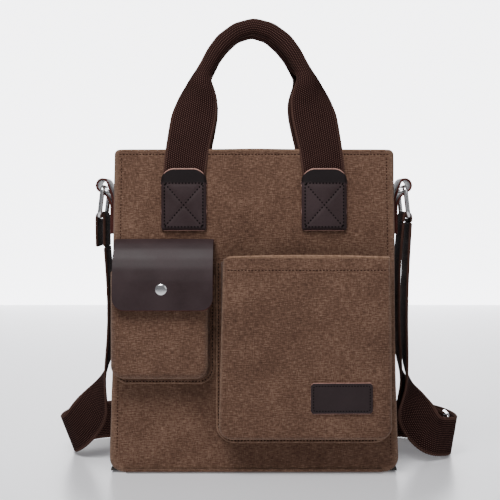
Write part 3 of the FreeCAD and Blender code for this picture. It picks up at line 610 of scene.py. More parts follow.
def swell(x, z):
    """How far the front or rear cloth stands out from its flat plane."""
    u, v = np.clip(np.abs(x) / half_width(z), 0, 1), np.clip(z / TOP, 0, 1)
    body = 1.3 * MM * (1 - u ** 2) * np.sin(math.pi * v)
    near_edge = smooth_step((u - 0.75) / 0.25) + smooth_step((0.16 - v) / 0.16)
    pressed = 0.5 * MM * np.exp(-((TOP - z - TOP_SEAM) / (1.1 * MM)) ** 2)
    waves = 0.35 * MM * ripple(x, z, 46 * MM, 1.0) + 0.3 * MM * near_edge * ripple(x, z, 17 * MM, 4.0)
    return body - pressed + waves


def on_panel(side, x, z, out=0.0):
    """Points on the front or rear cloth, a distance in front of it."""
    x, z = np.broadcast_arrays(np.asarray(x, float), np.asarray(z, float))
    return places(x, side * (half_depth(z) + swell(x, z) + out), z)


def panel_normals(side, points):
    """Directions straight out of the front or rear cloth."""
    return repeated((0.0, side * math.cos(LEAN), math.sin(LEAN)), points)


def panel_row(side, x, z, out):
    """A row of stitching on the front or rear cloth: its points and their normals."""
    points = on_panel(side, x, z, out)
    return points, panel_normals(side, points)


def shell_heights():
    """Heights of the body's rows, closer together round the bottom and along the top seam."""
    turn = np.linspace(0, math.pi / 2, 9)
    low = BOTTOM_ROUND_X * (1 - np.cos(turn))
    high = TOP - TOP_ROUND * (1 - np.sin(np.linspace(0, math.pi / 2, 6)))
    return np.concatenate([low, np.arange(BOTTOM_ROUND_X + 3 * MM, TOP - 16 * MM, 3 * MM),
                           np.arange(TOP - 15 * MM, TOP - TOP_ROUND - 0.3 * MM, 0.8 * MM), high])


def shell_grid(face, columns):
    """Outer surface of one panel of the body: front, rear, left or right. Columns run round the bag."""
    heights = shell_heights()
    z = heights[:, None] * np.ones(columns)
    width = half_width(z) - rounding(z, BOTTOM_ROUND_X) - rounding(TOP - z, TOP_ROUND)
    depth = half_depth(z) - rounding(z, BOTTOM_ROUND_Y)
    along, other = (width, depth) if face in ("front", "rear") else (depth, width)
    straight = along - SEAM_RADIUS
    half = straight + SEAM_RADIUS * math.pi / 4
    travel = np.linspace(-1, 1, columns)[None, :] * half
    past = np.clip(np.abs(travel) - straight, 0, None) / SEAM_RADIUS
    sideways = np.sign(travel) * (np.minimum(np.abs(travel), straight) + SEAM_RADIUS * np.sin(past))
    outwards = other - SEAM_RADIUS + SEAM_RADIUS * np.cos(past)
    flatness = 1 - smooth_step(past / (math.pi / 4))
    if face in ("front", "rear"):
        outwards = outwards + swell(sideways, z) * flatness
        side = FRONT if face == "front" else REAR
        grid = places(sideways * -side, side * outwards, z)
    else:
        hollow = 2.2 * MM * np.sin(math.pi * np.clip((z - 30 * MM) / (200 * MM), 0, 1))
        outwards = outwards - (hollow - 0.5 * MM * ripple(sideways, z, 30 * MM, 7.0)) * flatness
        side = LEFT if face == "left" else RIGHT
        grid = places(side * outwards, sideways * side, z)
    weave = np.stack([travel + (2.0 if face in ("left", "right") else 0.0), z], axis=-1)
    return grid, weave


def build_body():
    """Four cloth panels that meet in rounded seams, with worn edges, and the base under them."""
    for face, node, columns, seam in (("front", "front_panel", 99, 0.965), ("rear", "rear_panel", 99, 0.965),
                                      ("left", "left_gusset", 33, 0.9), ("right", "right_gusset", 33, 0.9)):
        grid, weave = shell_grid(face, columns)
        grid, weave = np.swapaxes(grid, 0, 1), np.swapaxes(weave, 0, 1)
        share = np.abs(np.linspace(-1, 1, columns))[:, None]
        edge = smooth_step((share - seam) / 0.03) * 0.3
        z = grid[..., 2]
        edge = np.maximum(edge, smooth_step((z - TOP + 2.2 * MM) / (2 * MM)) * 0.45)
        edge = np.maximum(edge, smooth_step((9 * MM - z) / (8 * MM)) * 0.35)
        thick = CLOTH + 0.7 * MM * smooth_step((z - TOP + 7 * MM) / (1.5 * MM))
        panel = slab(f"{node}_cloth", grid, thick, "canvas", wear_and_painted_light=edge, weave=weave, outward=-0.5)
        settle(panel, stands_for=[node])
    build_base()


def flat_sheet(x_low, x_high, y_low, y_high, z, columns=60, rows=6):
    """Level grid that faces up."""
    x, y = np.meshgrid(np.linspace(x_low, x_high, columns), np.linspace(y_low, y_high, rows), indexing="ij")
    return places(x, y, z)


def build_base():
    """Base cloth with rounded corners, the board on it and the piping along the long bottom seams."""
    half_x, half_y = half_width(0) - BOTTOM_ROUND_X, half_depth(0) - BOTTOM_ROUND_Y
    x = half_x * np.sin(np.linspace(-math.pi / 2, math.pi / 2, 80))
    reach = half_y - rounding(half_x - np.abs(x), SEAM_RADIUS)
    y = np.linspace(1, -1, 24)[None, :] * reach[:, None]
    grid = places(x[:, None], y, 0.0)
    weave = grid[..., :2] + 1.0
    cloth = slab("base_cloth", grid, CLOTH, "canvas", weave=weave, outward=-0.5)
    settle(cloth, stands_for=["base_panel"])
    for node in ("front_piping", "rear_piping"):
        low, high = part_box(node)
        middle, radius = (low + high) / 2, (high.z - low.z) / 2
        x = np.linspace(low.x, high.x, 160)
        line = places(x, middle.y + 0.3 * MM * ripple(x, x * 0, 25 * MM, 3.0), middle.z)
        piping = tube(f"{node}_roll", line, radius, "canvas", 12)
        settle(piping, stands_for=[node])


def wall_band(name, heights, inset, thick, material, stands_for):
    """Cloth wall that runs all the way round inside the body."""
    loops = []
    for z in heights:
        outline = rounded_rectangle(half_width(z) - inset, half_depth(z) - inset, SEAM_RADIUS)
        loop = spread(np.concatenate([outline, outline[:1]]), 150)
        loops.append(np.column_stack([loop, np.full(len(loop), z)]))
    grid = np.swapaxes(np.array(loops), 0, 1)
    return settle(slab(name, grid, thick, material, outward=-0.5), stands_for=stands_for)


def build_inside():
    """Facing behind the top edge, and the lining's walls and floor."""
    wall_band("top_facing_cloth", np.linspace(298 * MM, TOP - 1 * MM, 12), 2.9 * MM, 1.2 * MM, "canvas",
              ["top_facing"])
    wall_band("lining_walls", np.linspace(16 * MM, 300 * MM, 24), 4.4 * MM, 0.8 * MM, "lining_cloth",
              ["lining"])
    low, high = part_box("base_board")
    floor = flat_sheet(low.x + 6 * MM, high.x - 6 * MM, low.y + 3 * MM, high.y - 3 * MM, high.z + 1 * MM)
    settle(slab("lining_floor", floor, 0.8 * MM, "lining_cloth"))


def build_zip():
    """Cloth strips, tapes and teeth on each side of the mouth, and finishes for the small CAD pieces."""
    for side, word in ((FRONT, "front"), (REAR, "rear")):
        for node, material in ((f"zip_strip_{word}", "canvas"), (f"zip_tape_{word}", "zip_tape")):
            low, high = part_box(node)
            grid = flat_sheet(low.x, high.x, low.y, high.y, (low.z + high.z) / 2, 140, 9)
            sag = 0.5 * MM * ripple(grid[..., 0], grid[..., 1], 40 * MM, 9.0)
            if "strip" in node:
                grid[..., 2] += sag
            settle(slab(f"{node}_cloth", grid, high.z - low.z, material), stands_for=[node])
        low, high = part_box(f"zip_strip_{word}")
        inner = low.y if side == REAR else high.y
        row = places(np.linspace(low.x + 6 * MM, high.x - 6 * MM, 60), inner + side * 2.5 * MM, high.z)
        row[:, 2] += 0.5 * MM * ripple(row[:, 0], row[:, 1], 40 * MM, 9.0)
        stitches(f"zip_stitches_{word}", [(row, repeated((0, 0, 1), row))])
        build_teeth(f"zip_coil_{word}", side)
    for node in ("zip_slider", "zip_pull", "zip_end_stops", "strap_adjuster_pin", "snap_post", "snap_stud",
                 "snap_socket"):
        dress(node, "bright_metal" if node != "zip_end_stops" else "zip_metal")
    dress("base_board", "stiffener_board")


def build_teeth(node, side):
    """One side's row of moulded teeth, each a small wedge with a raised head."""
    low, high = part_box(node)
    pitch = 2.4 * MM
    shift = 0 if side == FRONT else pitch / 2
    count = int((high.x - low.x - pitch) // pitch)
    outer = low.y if side == FRONT else high.y
    profile = ((0.0, 0.50, 1.00), (0.55, 0.50, 0.9), (0.85, 0.62, 1.0), (1.35, 0.36, 0.7))
    vertices, faces = [], []
    for index in range(count):
        x = low.x + pitch * 0.5 + shift + index * pitch
        first = len(vertices)
        for reach, half, tall in profile:
            y, crest = outer - side * reach * (high.y - low.y), low.z + tall * (high.z - low.z)
            corners = ((-half, low.z), (half, low.z), (half, crest), (-half, crest))
            vertices += [(x + x_side * MM, y, z) for x_side, z in corners]
        faces += ring_faces(len(profile), 4, first)
    teeth = add_object(f"{node}_teeth", vertices, faces, ["zip_metal"], sharp=30)
    settle(teeth, stands_for=[node])


def dress(node, material):
    """Give a CAD piece that stays in view its finish."""
    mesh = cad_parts[node].data
    mesh.materials.clear()
    mesh.materials.append(MATERIALS[material])


# ---------------------------------------------------------------- webbing strips
SELVAGE_PITCH = 2.2 * MM


def scallop(travelled):
    """How far the woven edge stands out, loop by loop."""
    return 0.35 * MM * np.abs(np.sin(math.pi * travelled / SELVAGE_PITCH))


def ribbon(name, line, across, width, thick=WEBBING):
    """Woven strip along a line, with its width lying along a direction at each point."""
    ahead = unit(np.gradient(line, axis=0))
    across = unit(across - ahead * np.sum(across * ahead, axis=-1, keepdims=True))
    travelled = arc_lengths(line)
    share = np.linspace(-1, 1, 15)
    half = width / 2 + scallop(travelled)[:, None] * np.clip((np.abs(share) - 0.85) / 0.15, 0, 1)
    offset = share * half
    grid = line[:, None] + across[:, None] * offset[..., None]
    weave = np.stack(np.broadcast_arrays(travelled[:, None], offset), axis=-1)
    worn = np.broadcast_to(smooth_step((np.abs(share) - 0.86) / 0.14) * 0.6, offset.shape)
    return slab(name, grid, thick, "webbing", weave=weave, wear_and_painted_light=worn, round_rim=0.45)


# ---------------------------------------------------------------- shoulder strap
# Control points of the strap's three stretches, in mm
STRAP_MAIN = [(-152.6, 0.0, 227.2), (-149.4, 0.6, 183.0), (-149.8, 1.6, 136.0), (-154.5, 3.0, 95.0),
              (-167.5, 6.0, 60.0), (-186.0, 12.0, 34.0), (-201.0, 30.0, 21.6), (-205.5, 58.0, 21.4),
              (-198.5, 88.0, 21.5), (-176.0, 111.0, 21.4), (-136.0, 121.5, 21.5), (-84.0, 117.5, 21.4),
              (-30.0, 121.5, 21.5), (24.0, 118.0, 21.4), (78.0, 121.5, 21.5), (130.0, 120.0, 21.4),
              (170.0, 115.0, 21.5), (198.0, 99.0, 21.5), (212.0, 74.0, 21.7), (217.5, 48.0, 21.8),
              (216.68, 36.0, 22.35)]
STRAP_OUTER = [(216.68, 36.0, 22.35), (216.0, 26.0, 22.8), (208.8, 13.5, 24.0), (189.0, 0.0, 27.6),
               (176.0, -2.0, 40.0), (166.0, -1.4, 62.0), (159.8, -0.6, 92.0), (157.4, 0.2, 130.0),
               (157.2, 0.4, 172.0), (158.4, 0.2, 213.0), (160.6, 0.0, 252.2)]
STRAP_INNER = [(153.0, 0.0, 252.2), (149.6, 0.2, 216.0), (149.0, 0.8, 180.0), (149.6, 2.0, 143.0),
               (152.6, 5.0, 106.0), (159.0, 9.5, 74.0), (170.5, 14.0, 50.0), (184.0, 19.0, 36.0),
               (197.0, 27.5, 28.5)]

# Which way the strap's width lies, and at what share of a layer's length
HANGING, STANDING_REAR = (0, 1, 0), (0, 0.08, 1)
STANDING_LEFT, STANDING_RIGHT = (-0.36, 0, 0.93), (0.16, 0, 0.99)
MAIN_WIDTHS = ((0, HANGING), (0.14, HANGING), (0.27, STANDING_LEFT), (0.31, STANDING_LEFT),
               (0.40, STANDING_REAR), (0.80, STANDING_REAR), (1, STANDING_RIGHT))
OUTER_WIDTHS = ((0, STANDING_RIGHT), (0.19, STANDING_RIGHT), (0.58, HANGING), (1, HANGING))
INNER_WIDTHS = ((0, HANGING), (0.5, HANGING), (0.91, STANDING_RIGHT), (1, STANDING_RIGHT))
STRAP_WIDTH = 40 * MM


def read_route(name, points):
    """Smooth line of a strap, read from the NURBS spline whose control points are the route."""
    data = bpy.data.curves.new(f"{name}_route", "CURVE")
    data.dimensions = "3D"
    data.resolution_u = 16
    spline = data.splines.new("NURBS")
    spline.points.add(len(points) - 1)
    for point, (x, y, z) in zip(spline.points, points):
        point.co = (x * MM, y * MM, z * MM, 1)
    spline.order_u = 3
    spline.use_endpoint_u = True
    curve = bpy.data.objects.new(f"{name}_route", data)
    bpy.context.collection.objects.link(curve)
    bpy.context.view_layer.update()
    mesh = bpy.data.meshes.new_from_object(curve)
    line = np.array([vertex.co[:] for vertex in mesh.vertices])
    bpy.data.objects.remove(curve)
    return line


def width_along(count, stations):
    """Direction of the strip's width at evenly spaced points, turning smoothly between stations."""
    travelled = np.linspace(0, 1, count)
    across = np.zeros((count, 3))
    for (start, first), (end, second) in zip(stations, stations[1:]):
        inside = (travelled >= start) & (travelled <= end)
        turn = smooth_step((travelled[inside] - start) / (end - start))[:, None]
        across[inside] = np.array(first) * (1 - turn) + np.array(second) * turn
    return unit(across)


def build_strap():
    """The shoulder strap: left end, run behind the bag, and the doubled right side with its adjuster."""
    adjuster = [build_adjuster(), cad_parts["strap_adjuster_pin"]]
    layers = (("strap_main", STRAP_MAIN, MAIN_WIDTHS, 0.762, LEFT, "object", ()),
              ("strap_outer_layer", STRAP_OUTER, OUTER_WIDTHS, 0.281, RIGHT, "object", ()),
              ("strap_inner_layer", STRAP_INNER, INNER_WIDTHS, 0.243, RIGHT, "fitting", adjuster))
    for name, points, stations, length, side, far_end, pieces in layers:
        route = read_route(name, points)
        line = resample(route, 1.1 * MM)
        strip = ribbon(f"{name}_webbing", line, width_along(len(line), stations), STRAP_WIDTH)
        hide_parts(name)
        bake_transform(strip)


def build_adjuster():
    """Rectangular slide of flattened nickel wire round the doubled strap."""
    low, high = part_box("strap_adjuster")
    middle, lean = (low + high) / 2, math.radians(9)
    bar = 4 * MM
    half_up = ((high.z - low.z) - 3 * MM * math.sin(lean)) / math.cos(lean) / 2 - bar / 2
    outline = rounded_rectangle((high.y - low.y) / 2 - bar / 2, half_up, 3.2 * MM, 8)
    loop = spread(np.concatenate([outline, outline[:1]]), 97)[:-1]
    line = places(middle.x + loop[:, 1] * math.sin(lean), middle.y + loop[:, 0],
                  middle.z + loop[:, 1] * math.cos(lean))
    frame_bar = tube("strap_adjuster_frame", line, bar / 2 * 0.92, "bright_metal", 16, closed=True)
    return settle(frame_bar, stands_for=["strap_adjuster"])


# Middles of a ring's top and bottom bars, (x, z) in mm
RING_TOP, RING_BOTTOM = (153.497, 289.0), (157.01, 259.5)
RING_HALF_WIDTH, RING_CORNER, RING_WIRE = 24.9 * MM, 4.6 * MM, 2.4 * MM


def build_rings():
    """Shoulder rings of round wire, the leather tabs that hold them and the strap ends sewn round them."""
    for side, word in ((LEFT, "left"), (RIGHT, "right")):
        body = f"{word}_ring"
        top, bottom = (np.array([side * x, 0, z]) * MM for x, z in (RING_TOP, RING_BOTTOM))
        outline = rounded_rectangle(RING_HALF_WIDTH, np.linalg.norm(top - bottom) / 2, RING_CORNER, 10)
        loop = spread(np.concatenate([outline, outline[:1]]), 141)[:-1]
        up = unit(top - bottom)
        line = (top + bottom) / 2 + loop[:, :1] * np.array([0, 1, 0]) + loop[:, 1:] * up
        wire = tube(f"{word}_ring_wire", line, RING_WIRE, "bright_metal", 20, closed=True)
        settle(wire, body, [body])
        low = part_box(f"strap_fold_{word}")[0].z / MM
        bend = [(152.9, low), (153.0, (low + 257) / 2), (153.1, 257.0), (153.7, 261.6), (157.0, 263.6),
                (160.3, 261.6), (160.9, 257.0), (160.8, (low + 257) / 2), (160.6, low)]
        path = rounded_line([(side * x * MM, 0, z * MM) for x, z in bend], 1.1 * MM, 3)
        fold = ribbon(f"strap_fold_{word}_webbing", path, repeated(HANGING, path), STRAP_WIDTH)
        settle(fold, body, [f"strap_fold_{word}"])
        build_tab(side, word)
    seam = places(-162.0 * MM, np.linspace(-16, 16, 20) * MM, 235.0 * MM)
    rows = [(seam + np.array([0, 0, rise]), repeated((LEFT, 0, 0), seam)) for rise in (0, 8 * MM)]
    stitches("strap_fold_left_stitches", rows, "dark_thread", "left_ring")


def build_tab(side, word):
    """Leather strip looped through a ring's top bar and sewn down to the gusset."""
    wall = half_width(np.array([242, 258, 272]) * MM) / MM
    path = [(wall[0] + 1.3, 242), (wall[1] + 1.3, 258), (wall[2] + 1.3, 272), (145.2, 281), (148.0, 290),
            (150.6, 296.2), (154.6, 298.0), (158.8, 296.2), (161.2, 291.3), (159.4, 286.2), (154.9, 284.2),
            (149.9, 280.0), (wall[2] + 3.9, 272), (wall[1] + 3.5, 258), (wall[0] + 3.5, 242)]
    line = rounded_line([(side * x * MM, 0, z * MM) for x, z in path], 0.9 * MM, 6)
    rows = np.linspace(-18, 18, 25) * MM
    grid = line[:, None] + places(0.0, rows * side, 0.0)
    settle(slab(f"{word}_tab_leather", grid, LEATHER, "dark_leather", "dark_edge"),
           stands_for=[f"{word}_ring_tab"])
    box = [(-15, 245.5), (15, 245.5), (15, 269), (-15, 269), (-15, 245.5)]
    points = resample([(y * MM, z * MM) for y, z in box], 2 * MM)
    face = places(side * (half_width(points[:, 1]) + 5.0 * MM), points[:, 0], points[:, 1])
    stitches(f"{word}_tab_stitches", [(face, repeated((side, 0, 0), face))], "dark_thread")


# ---------------------------------------------------------------- pockets
SEAM_OUT, FLANGE = 1.6 * MM, 4.6 * MM
STRAIGHT_POINTS, TURN_POINTS = 70, 16


def u_outline(left, right, bottom, top, radius):
    """Open outline of a pocket: down its left side, along the bottom and up its right side."""
    down = [(left, z) for z in np.linspace(top, bottom + radius, STRAIGHT_POINTS)[:-1]]
    turn = np.linspace(0, math.pi / 2, TURN_POINTS)
    first = [(left + radius * (1 - math.cos(a)), bottom + radius * (1 - math.sin(a))) for a in turn]
    floor = [(x, bottom) for x in np.linspace(left + radius, right - radius, STRAIGHT_POINTS)[1:-1]]
    second = [(right - radius * (1 - math.sin(a)), bottom + radius * (1 - math.cos(a))) for a in turn]
    up = [(right, z) for z in np.linspace(bottom + radius, top, STRAIGHT_POINTS)[1:]]
    return np.array(down + first + floor + second + up)


def inside_distance(x, z, left, right, bottom, radius):
    """Distance from a point inside a pocket's face to its sides or bottom, round the corners too."""
    to_side, to_floor = np.minimum(x - left, right - x), z - bottom
    corner = radius - np.hypot(radius - to_side, radius - to_floor)
    in_corner = (to_side < radius) & (to_floor < radius)
    return np.clip(np.where(in_corner, corner, np.minimum(to_side, to_floor)), 0, None)


class Pocket:
    """Measures and surfaces of one patch pocket with a folding side strip."""

    def __init__(self, name, face, seam, depth, radius, crown, taper, dip, roll, seed):
        """Lengths in mm. face is left, right, bottom and top; seam is left, right and bottom; taper is left
        and right. crown is the face's swell, dip the depth of the strip's fold, roll its edge's roundness."""
        self.name, self.depth, self.radius, self.roll = name, depth * MM, radius * MM, roll * MM
        self.left, self.right, self.bottom, self.top = (value * MM for value in face)
        self.seam_left, self.seam_right, self.seam_bottom = (value * MM for value in seam)
        self.crown, self.dip, self.seed = crown * MM, dip * MM, seed
        self.taper = [value * MM for value in taper]

    def slant(self, x, z):
        """Sideways shift that makes the face a little narrower towards its mouth."""
        share = np.clip((z - self.bottom) / (self.top - self.bottom), 0, 1)
        across = np.clip((x - self.left) / (self.right - self.left), 0, 1)
        return share * (self.taper[0] * (1 - across) - self.taper[1] * across)

    def face_out(self, x, z):
        """How far the face stands in front of the bag."""
        near = inside_distance(x, z, self.left, self.right, self.bottom, self.radius)
        u = (x - self.left) / (self.right - self.left)
        v = (z - self.bottom) / (self.top - self.bottom)
        bow = np.sin(math.pi * np.clip(u, 0, 1))
        swelled = self.crown * bow * (0.35 + 0.65 * np.sin(math.pi * np.clip(v, 0, 1)))
        loose = 0.55 * MM * ripple(x, z, 34 * MM, self.seed)
        loose = loose + 0.35 * MM * ripple(x, z, 13 * MM, self.seed + 5)
        hollow = 1.0 * MM * smooth_step((v - 0.9) / 0.1) * bow
        loose = loose * smooth_step(near / (9 * MM))
        return self.depth + swelled + loose - hollow - rounding(near, self.roll)

    def place(self, x, z):
        """Points on the face, for an x from before its sideways shift."""
        return places(x + self.slant(x, z), -(half_depth(z) + self.face_out(x, z)), z)

    def face_columns(self):
        """x and z of the face's grid before the sideways shift: a rounded bottom and an arched mouth."""
        u = eased(96)
        x = self.left + (self.right - self.left) * u
        drop = rounding(np.minimum(x - self.left, self.right - x), self.radius)
        arch = 1.6 * MM * np.sin(math.pi * u) - 2.2 * MM * smooth_step((7 * MM - (x - self.left)) / (7 * MM))
        v = np.concatenate([np.linspace(0, 0.06, 10)[:-1], np.linspace(0.06, 0.94, 70),
                            np.linspace(0.94, 1, 10)[1:]])
        low = self.bottom + drop
        z = low[:, None] + (self.top + arch - low)[:, None] * v[None]
        return np.broadcast_to(x[:, None], z.shape), z

    def build(self):
        """Face with its hemmed mouth, side strip, sewn flange and stitches."""
        x, z = self.face_columns()
        grid = self.place(x, z)
        near = inside_distance(grid[..., 0] - self.slant(grid[..., 0], z), z, self.left, self.right,
                               self.bottom, self.radius)
        # Painted highlight: a pale band along the pocket's mouth; the slightly paler sides and bottom are
        # wear
        worn = np.maximum(smooth_step((2.6 * MM - near) / (2.4 * MM)) * 0.3,
                          smooth_step((z - self.top + 1.4 * MM) / (2 * MM)) * 0.7)
        thick = CLOTH + 0.5 * MM * smooth_step((z - self.top + 14 * MM) / (1.2 * MM))
        weave = np.stack([grid[..., 0] + 0.5, grid[..., 2]], axis=-1)
        face = slab(f"{self.name}_face", grid, thick, "canvas", weave=weave, wear_and_painted_light=worn, outward=-0.5)
        settle(face, stands_for=[self.name])
        self.build_strip()
        self.build_flange()
        self.build_stitches()

    def outlines(self):
        """Outlines of the face's edge and of the seam on the bag."""
        face = u_outline(self.left, self.right, self.bottom, self.top - 3 * MM, self.radius)
        grown = self.radius + (self.left - self.seam_left)
        seam = u_outline(self.seam_left + FLANGE, self.seam_right - FLANGE, self.seam_bottom + FLANGE,
                         self.top - 6 * MM, max(grown - 2 * MM, 6 * MM))
        face[:, 0] += self.slant(face[:, 0], face[:, 1])
        return face, seam

    def beside_seam(self, steps, margin):
        """x and z beside the seam, one column for each step outward, a margin inside the bag's sides."""
        _, seam = self.outlines()
        ahead = unit(np.gradient(seam, axis=0))
        outward = np.stack([ahead[:, 1], -ahead[:, 0]], axis=-1)
        flat = seam[:, None] + outward[:, None] * steps[None, :, None]
        limit = half_width(flat[..., 1]) - margin
        return np.clip(flat[..., 0], -limit, limit), flat[..., 1]

    def build_strip(self):
        """Side strip from the seam on the bag to the edge of the face, folded inward half way."""
        face, seam = self.outlines()
        share = np.linspace(0, 1, 15)[None, :, None]
        flat = seam[:, None] * (1 - share) + face[:, None] * share
        ahead = unit(np.gradient(flat[:, 7], axis=0))
        inward = np.stack([-ahead[:, 1], ahead[:, 0]], axis=-1)
        fold = np.sin(math.pi * share) ** 2 * self.dip
        flat = flat + inward[:, None] * fold
        reach = SEAM_OUT + (self.depth - self.roll + 1.2 * MM - SEAM_OUT) * share[..., 0]
        x, z = flat[..., 0], flat[..., 1]
        wobble = 0.5 * MM * ripple(z + x, reach + 0 * x, 14 * MM, self.seed + 2)
        wobble = wobble * np.sin(math.pi * share[..., 0])
        grid = places(x + wobble, -(half_depth(z) + reach), z)
        edge = smooth_step((np.abs(share[..., 0] - 0.5) - 0.44) / 0.05) * 0.4 * np.ones_like(x)
        strip = slab(f"{self.name}_side_strip", grid, CLOTH * 0.8, "canvas", wear_and_painted_light=edge, outward=-0.5)
        settle(strip)

    def build_flange(self):
        """Narrow flange round the pocket, sewn down to the bag."""
        steps = np.array([4.2, 3.9, 3.0, 1.5, -0.5, -2.0]) * MM
        heights = np.array([0.5, 1.0, 1.35, 1.3, 1.2, 1.6]) * MM
        x, z = self.beside_seam(steps, 1.5 * MM)
        worn = np.broadcast_to(np.clip((steps - 3.4 * MM) / (0.5 * MM), 0, 1) * 0.4, x.shape)
        grid = on_panel(FRONT, x, z, heights)
        settle(slab(f"{self.name}_flange", grid, 1.4 * MM, "canvas", wear_and_painted_light=worn))

    def build_stitches(self):
        """One row along the flange and one along the hem."""
        x, z = (values[:, 0] for values in self.beside_seam(np.array([2.2 * MM]), 2.5 * MM))
        stitches(f"{self.name}_flange_stitches", [panel_row(FRONT, x, z, 2.0 * MM)], "dark_thread")
        x = np.linspace(self.left + 4 * MM, self.right - 4 * MM, 90)
        hem = self.place(x, np.full(x.shape, self.top - 12.5 * MM))
        stitches(f"{self.name}_hem_stitches", [(hem, panel_normals(FRONT, hem))], sink=0.3)


LARGE_POCKET = Pocket("large_pocket", face=(-35.2, 137, 39, 219.5), seam=(-38, 139, 31), depth=24, radius=13,
                      crown=1.6, taper=(4.8, 2.6), dip=2.0, roll=4, seed=11.0)
SMALL_POCKET = Pocket("small_pocket", face=(-142.4, -46, 98.5, 206.5), seam=(-143.6, -39.3, 91), depth=21.5,
                      radius=13, crown=1.0, taper=(0.0, 0.0), dip=3.2, roll=7, seed=23.0)


# ---------------------------------------------------------------- leather on the front
def plate_grid(left, right, bottom, top, low_radius, high_radius, surface, columns=40, rows=44):
    """Grid of a leather plate with rounded corners; surface gives the point at each (x, z)."""
    x = left + (right - left) * eased(columns)
    to_side = np.minimum(x - left, right - x)
    low, high = bottom + rounding(to_side, low_radius), top - rounding(to_side, high_radius)
    z = low[:, None] + (high - low)[:, None] * eased(rows)
    return surface(np.broadcast_to(x[:, None], z.shape), z)


PATCH_INSET, PATCH_LIP, HANDLE_MIDDLE = 3.2 * MM, 14 * MM, 70.5 * MM


def patch_surface(side, middle, left, right, bottom, top, seam_top):
    """Height of a handle patch: pressed down at its edges and along its cross of stitches."""
    low = bottom + PATCH_INSET

    def groove(distance):
        return np.exp(-(distance / (1.1 * MM)) ** 2)

    def surface(x, z):
        near = np.minimum(np.minimum(x - left, right - x), z - bottom)
        lift = 1.3 * MM + 2.7 * MM * smooth_step(near / (3.2 * MM))
        width, height = (right - left) / 2 - PATCH_INSET, (seam_top - low) / 2
        across, up = (x - middle) / width, (z - (low + seam_top) / 2) / height
        span = math.hypot(width, height)
        cross = np.minimum(np.abs(across - up), np.abs(across + up)) * width * height / span
        inside = smooth_step((1.04 - np.maximum(np.abs(across), np.abs(up))) / 0.04)
        lift = lift - 0.55 * MM * groove(cross) * inside
        puff = 0.5 * MM * np.clip(1 - np.maximum(np.abs(across), np.abs(up)) ** 4, 0, 1)
        lift = lift + puff * (1 - groove(cross)) - 0.5 * MM * groove(z - seam_top)
        lip = np.clip((z - seam_top) / (top - seam_top), 0, 1)
        return on_panel(side, x, z, lift + 2.6 * MM * lip ** 1.4)
    return surface


def build_patches():
    """Four leather patches, each with a stitched cross, over the ends of the handles."""
    for side, word in ((FRONT, "front"), (REAR, "rear")):
        for hand, x in (("left", -HANDLE_MIDDLE), ("right", HANDLE_MIDDLE)):
            node = f"{word}_patch_{hand}"
            low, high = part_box(node)
            seam_top = high.z - PATCH_LIP
            surface = patch_surface(side, x, low.x, high.x, low.z, high.z, seam_top)
            grid = plate_grid(low.x, high.x, low.z, high.z, 3.5 * MM, 13 * MM, surface)
            if side == REAR:
                grid = grid[::-1]
            # Painted shade: the leather of each patch's lip, above its seam, is darkened towards near-black
            # where the tilted lip faces down into shade
            lip = smooth_step((grid[..., 2] - seam_top - 0.3 * MM) / (0.8 * MM)) * 0.85
            settle(slab(f"{node}_leather", grid, 2.0 * MM, "dark_leather", "leather_edge", lip, 0.42),
                   stands_for=[node])
            left, right, bottom = low.x + PATCH_INSET, high.x - PATCH_INSET, low.z + PATCH_INSET
            box = [(left, seam_top), (left, bottom), (right, bottom), (right, seam_top), (left, seam_top)]
            rows = [box, [(left, seam_top), (right, bottom)], [(right, seam_top), (left, bottom)]]
            lines = []
            for row in rows:
                points = resample(row, 1.5 * MM)
                place = surface(points[:, 0], points[:, 1])
                place[:, 1] += side * 1.0 * MM
                lines.append((place, panel_normals(side, place)))
            stitches(f"{node}_stitches", lines, "dark_thread", sink=0.0, length=2.0 * MM, gap=1.3 * MM,
                     radius=0.66 * MM)
            build_anchor(side, f"{word}_anchor_{hand}")


def build_anchor(side, node):
    """End of a handle's webbing, sewn flat to the bag under its patch."""
    low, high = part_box(node)
    z = np.linspace(low.z, high.z - 8 * MM, 60)
    line = on_panel(side, np.full(z.shape, (low.x + high.x) / 2), z, 1.6 * MM)
    strip = ribbon(f"{node}_webbing", line, repeated((1, 0, 0), line), high.x - low.x - 1.5 * MM, 1.9 * MM)
    settle(strip, stands_for=[node])


def build_label():
    """Plain leather label, sewn to the large pocket round its border."""
    low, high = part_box("label")
    inset = 2.6 * MM

    def surface(x, z):
        near = np.minimum(np.minimum(x - low.x, high.x - x), np.minimum(z - low.z, high.z - z))
        pressed = 0.25 * MM * np.exp(-((near - inset) / (0.9 * MM)) ** 2)
        lift = 1.0 * MM + 0.6 * MM * smooth_step(near / (2.5 * MM)) - pressed
        return places(x, -(half_depth(z) + LARGE_POCKET.face_out(x, z) + lift), z)
    grid = plate_grid(low.x, high.x, low.z, high.z, 3.8 * MM, 3.8 * MM, surface, 50, 30)
    shade = np.full(grid.shape[:2], 0.4)
    settle(slab("label_leather", grid, 1.6 * MM, "dark_leather", "leather_edge", shade, 0.35),
           stands_for=["label"])
    outline = rounded_rectangle((high.x - low.x) / 2 - inset, (high.z - low.z) / 2 - inset, 2 * MM)
    row = resample(np.concatenate([outline, outline[:1]]), 1.2 * MM)
    x, z = row[:, 0] + (low.x + high.x) / 2, row[:, 1] + (low.z + high.z) / 2
    place = surface(x, z)
    place[:, 1] -= 0.8 * MM
    stitches("label_stitches", [(place, panel_normals(FRONT, place))], "dark_thread", sink=0.1,
             length=1.9 * MM)


# ---------------------------------------------------------------- flap and snap
# The flap seen from the side: how far its back stands off the bag, and the height, in mm
FLAP_PROFILE = [(1.0, 236.0), (4.0, 235.2), (9.0, 232.4), (15.0, 227.0), (20.4, 219.0), (24.4, 208.5),
                (26.8, 196.0), (27.6, 184.0), (27.0, 167.9)]


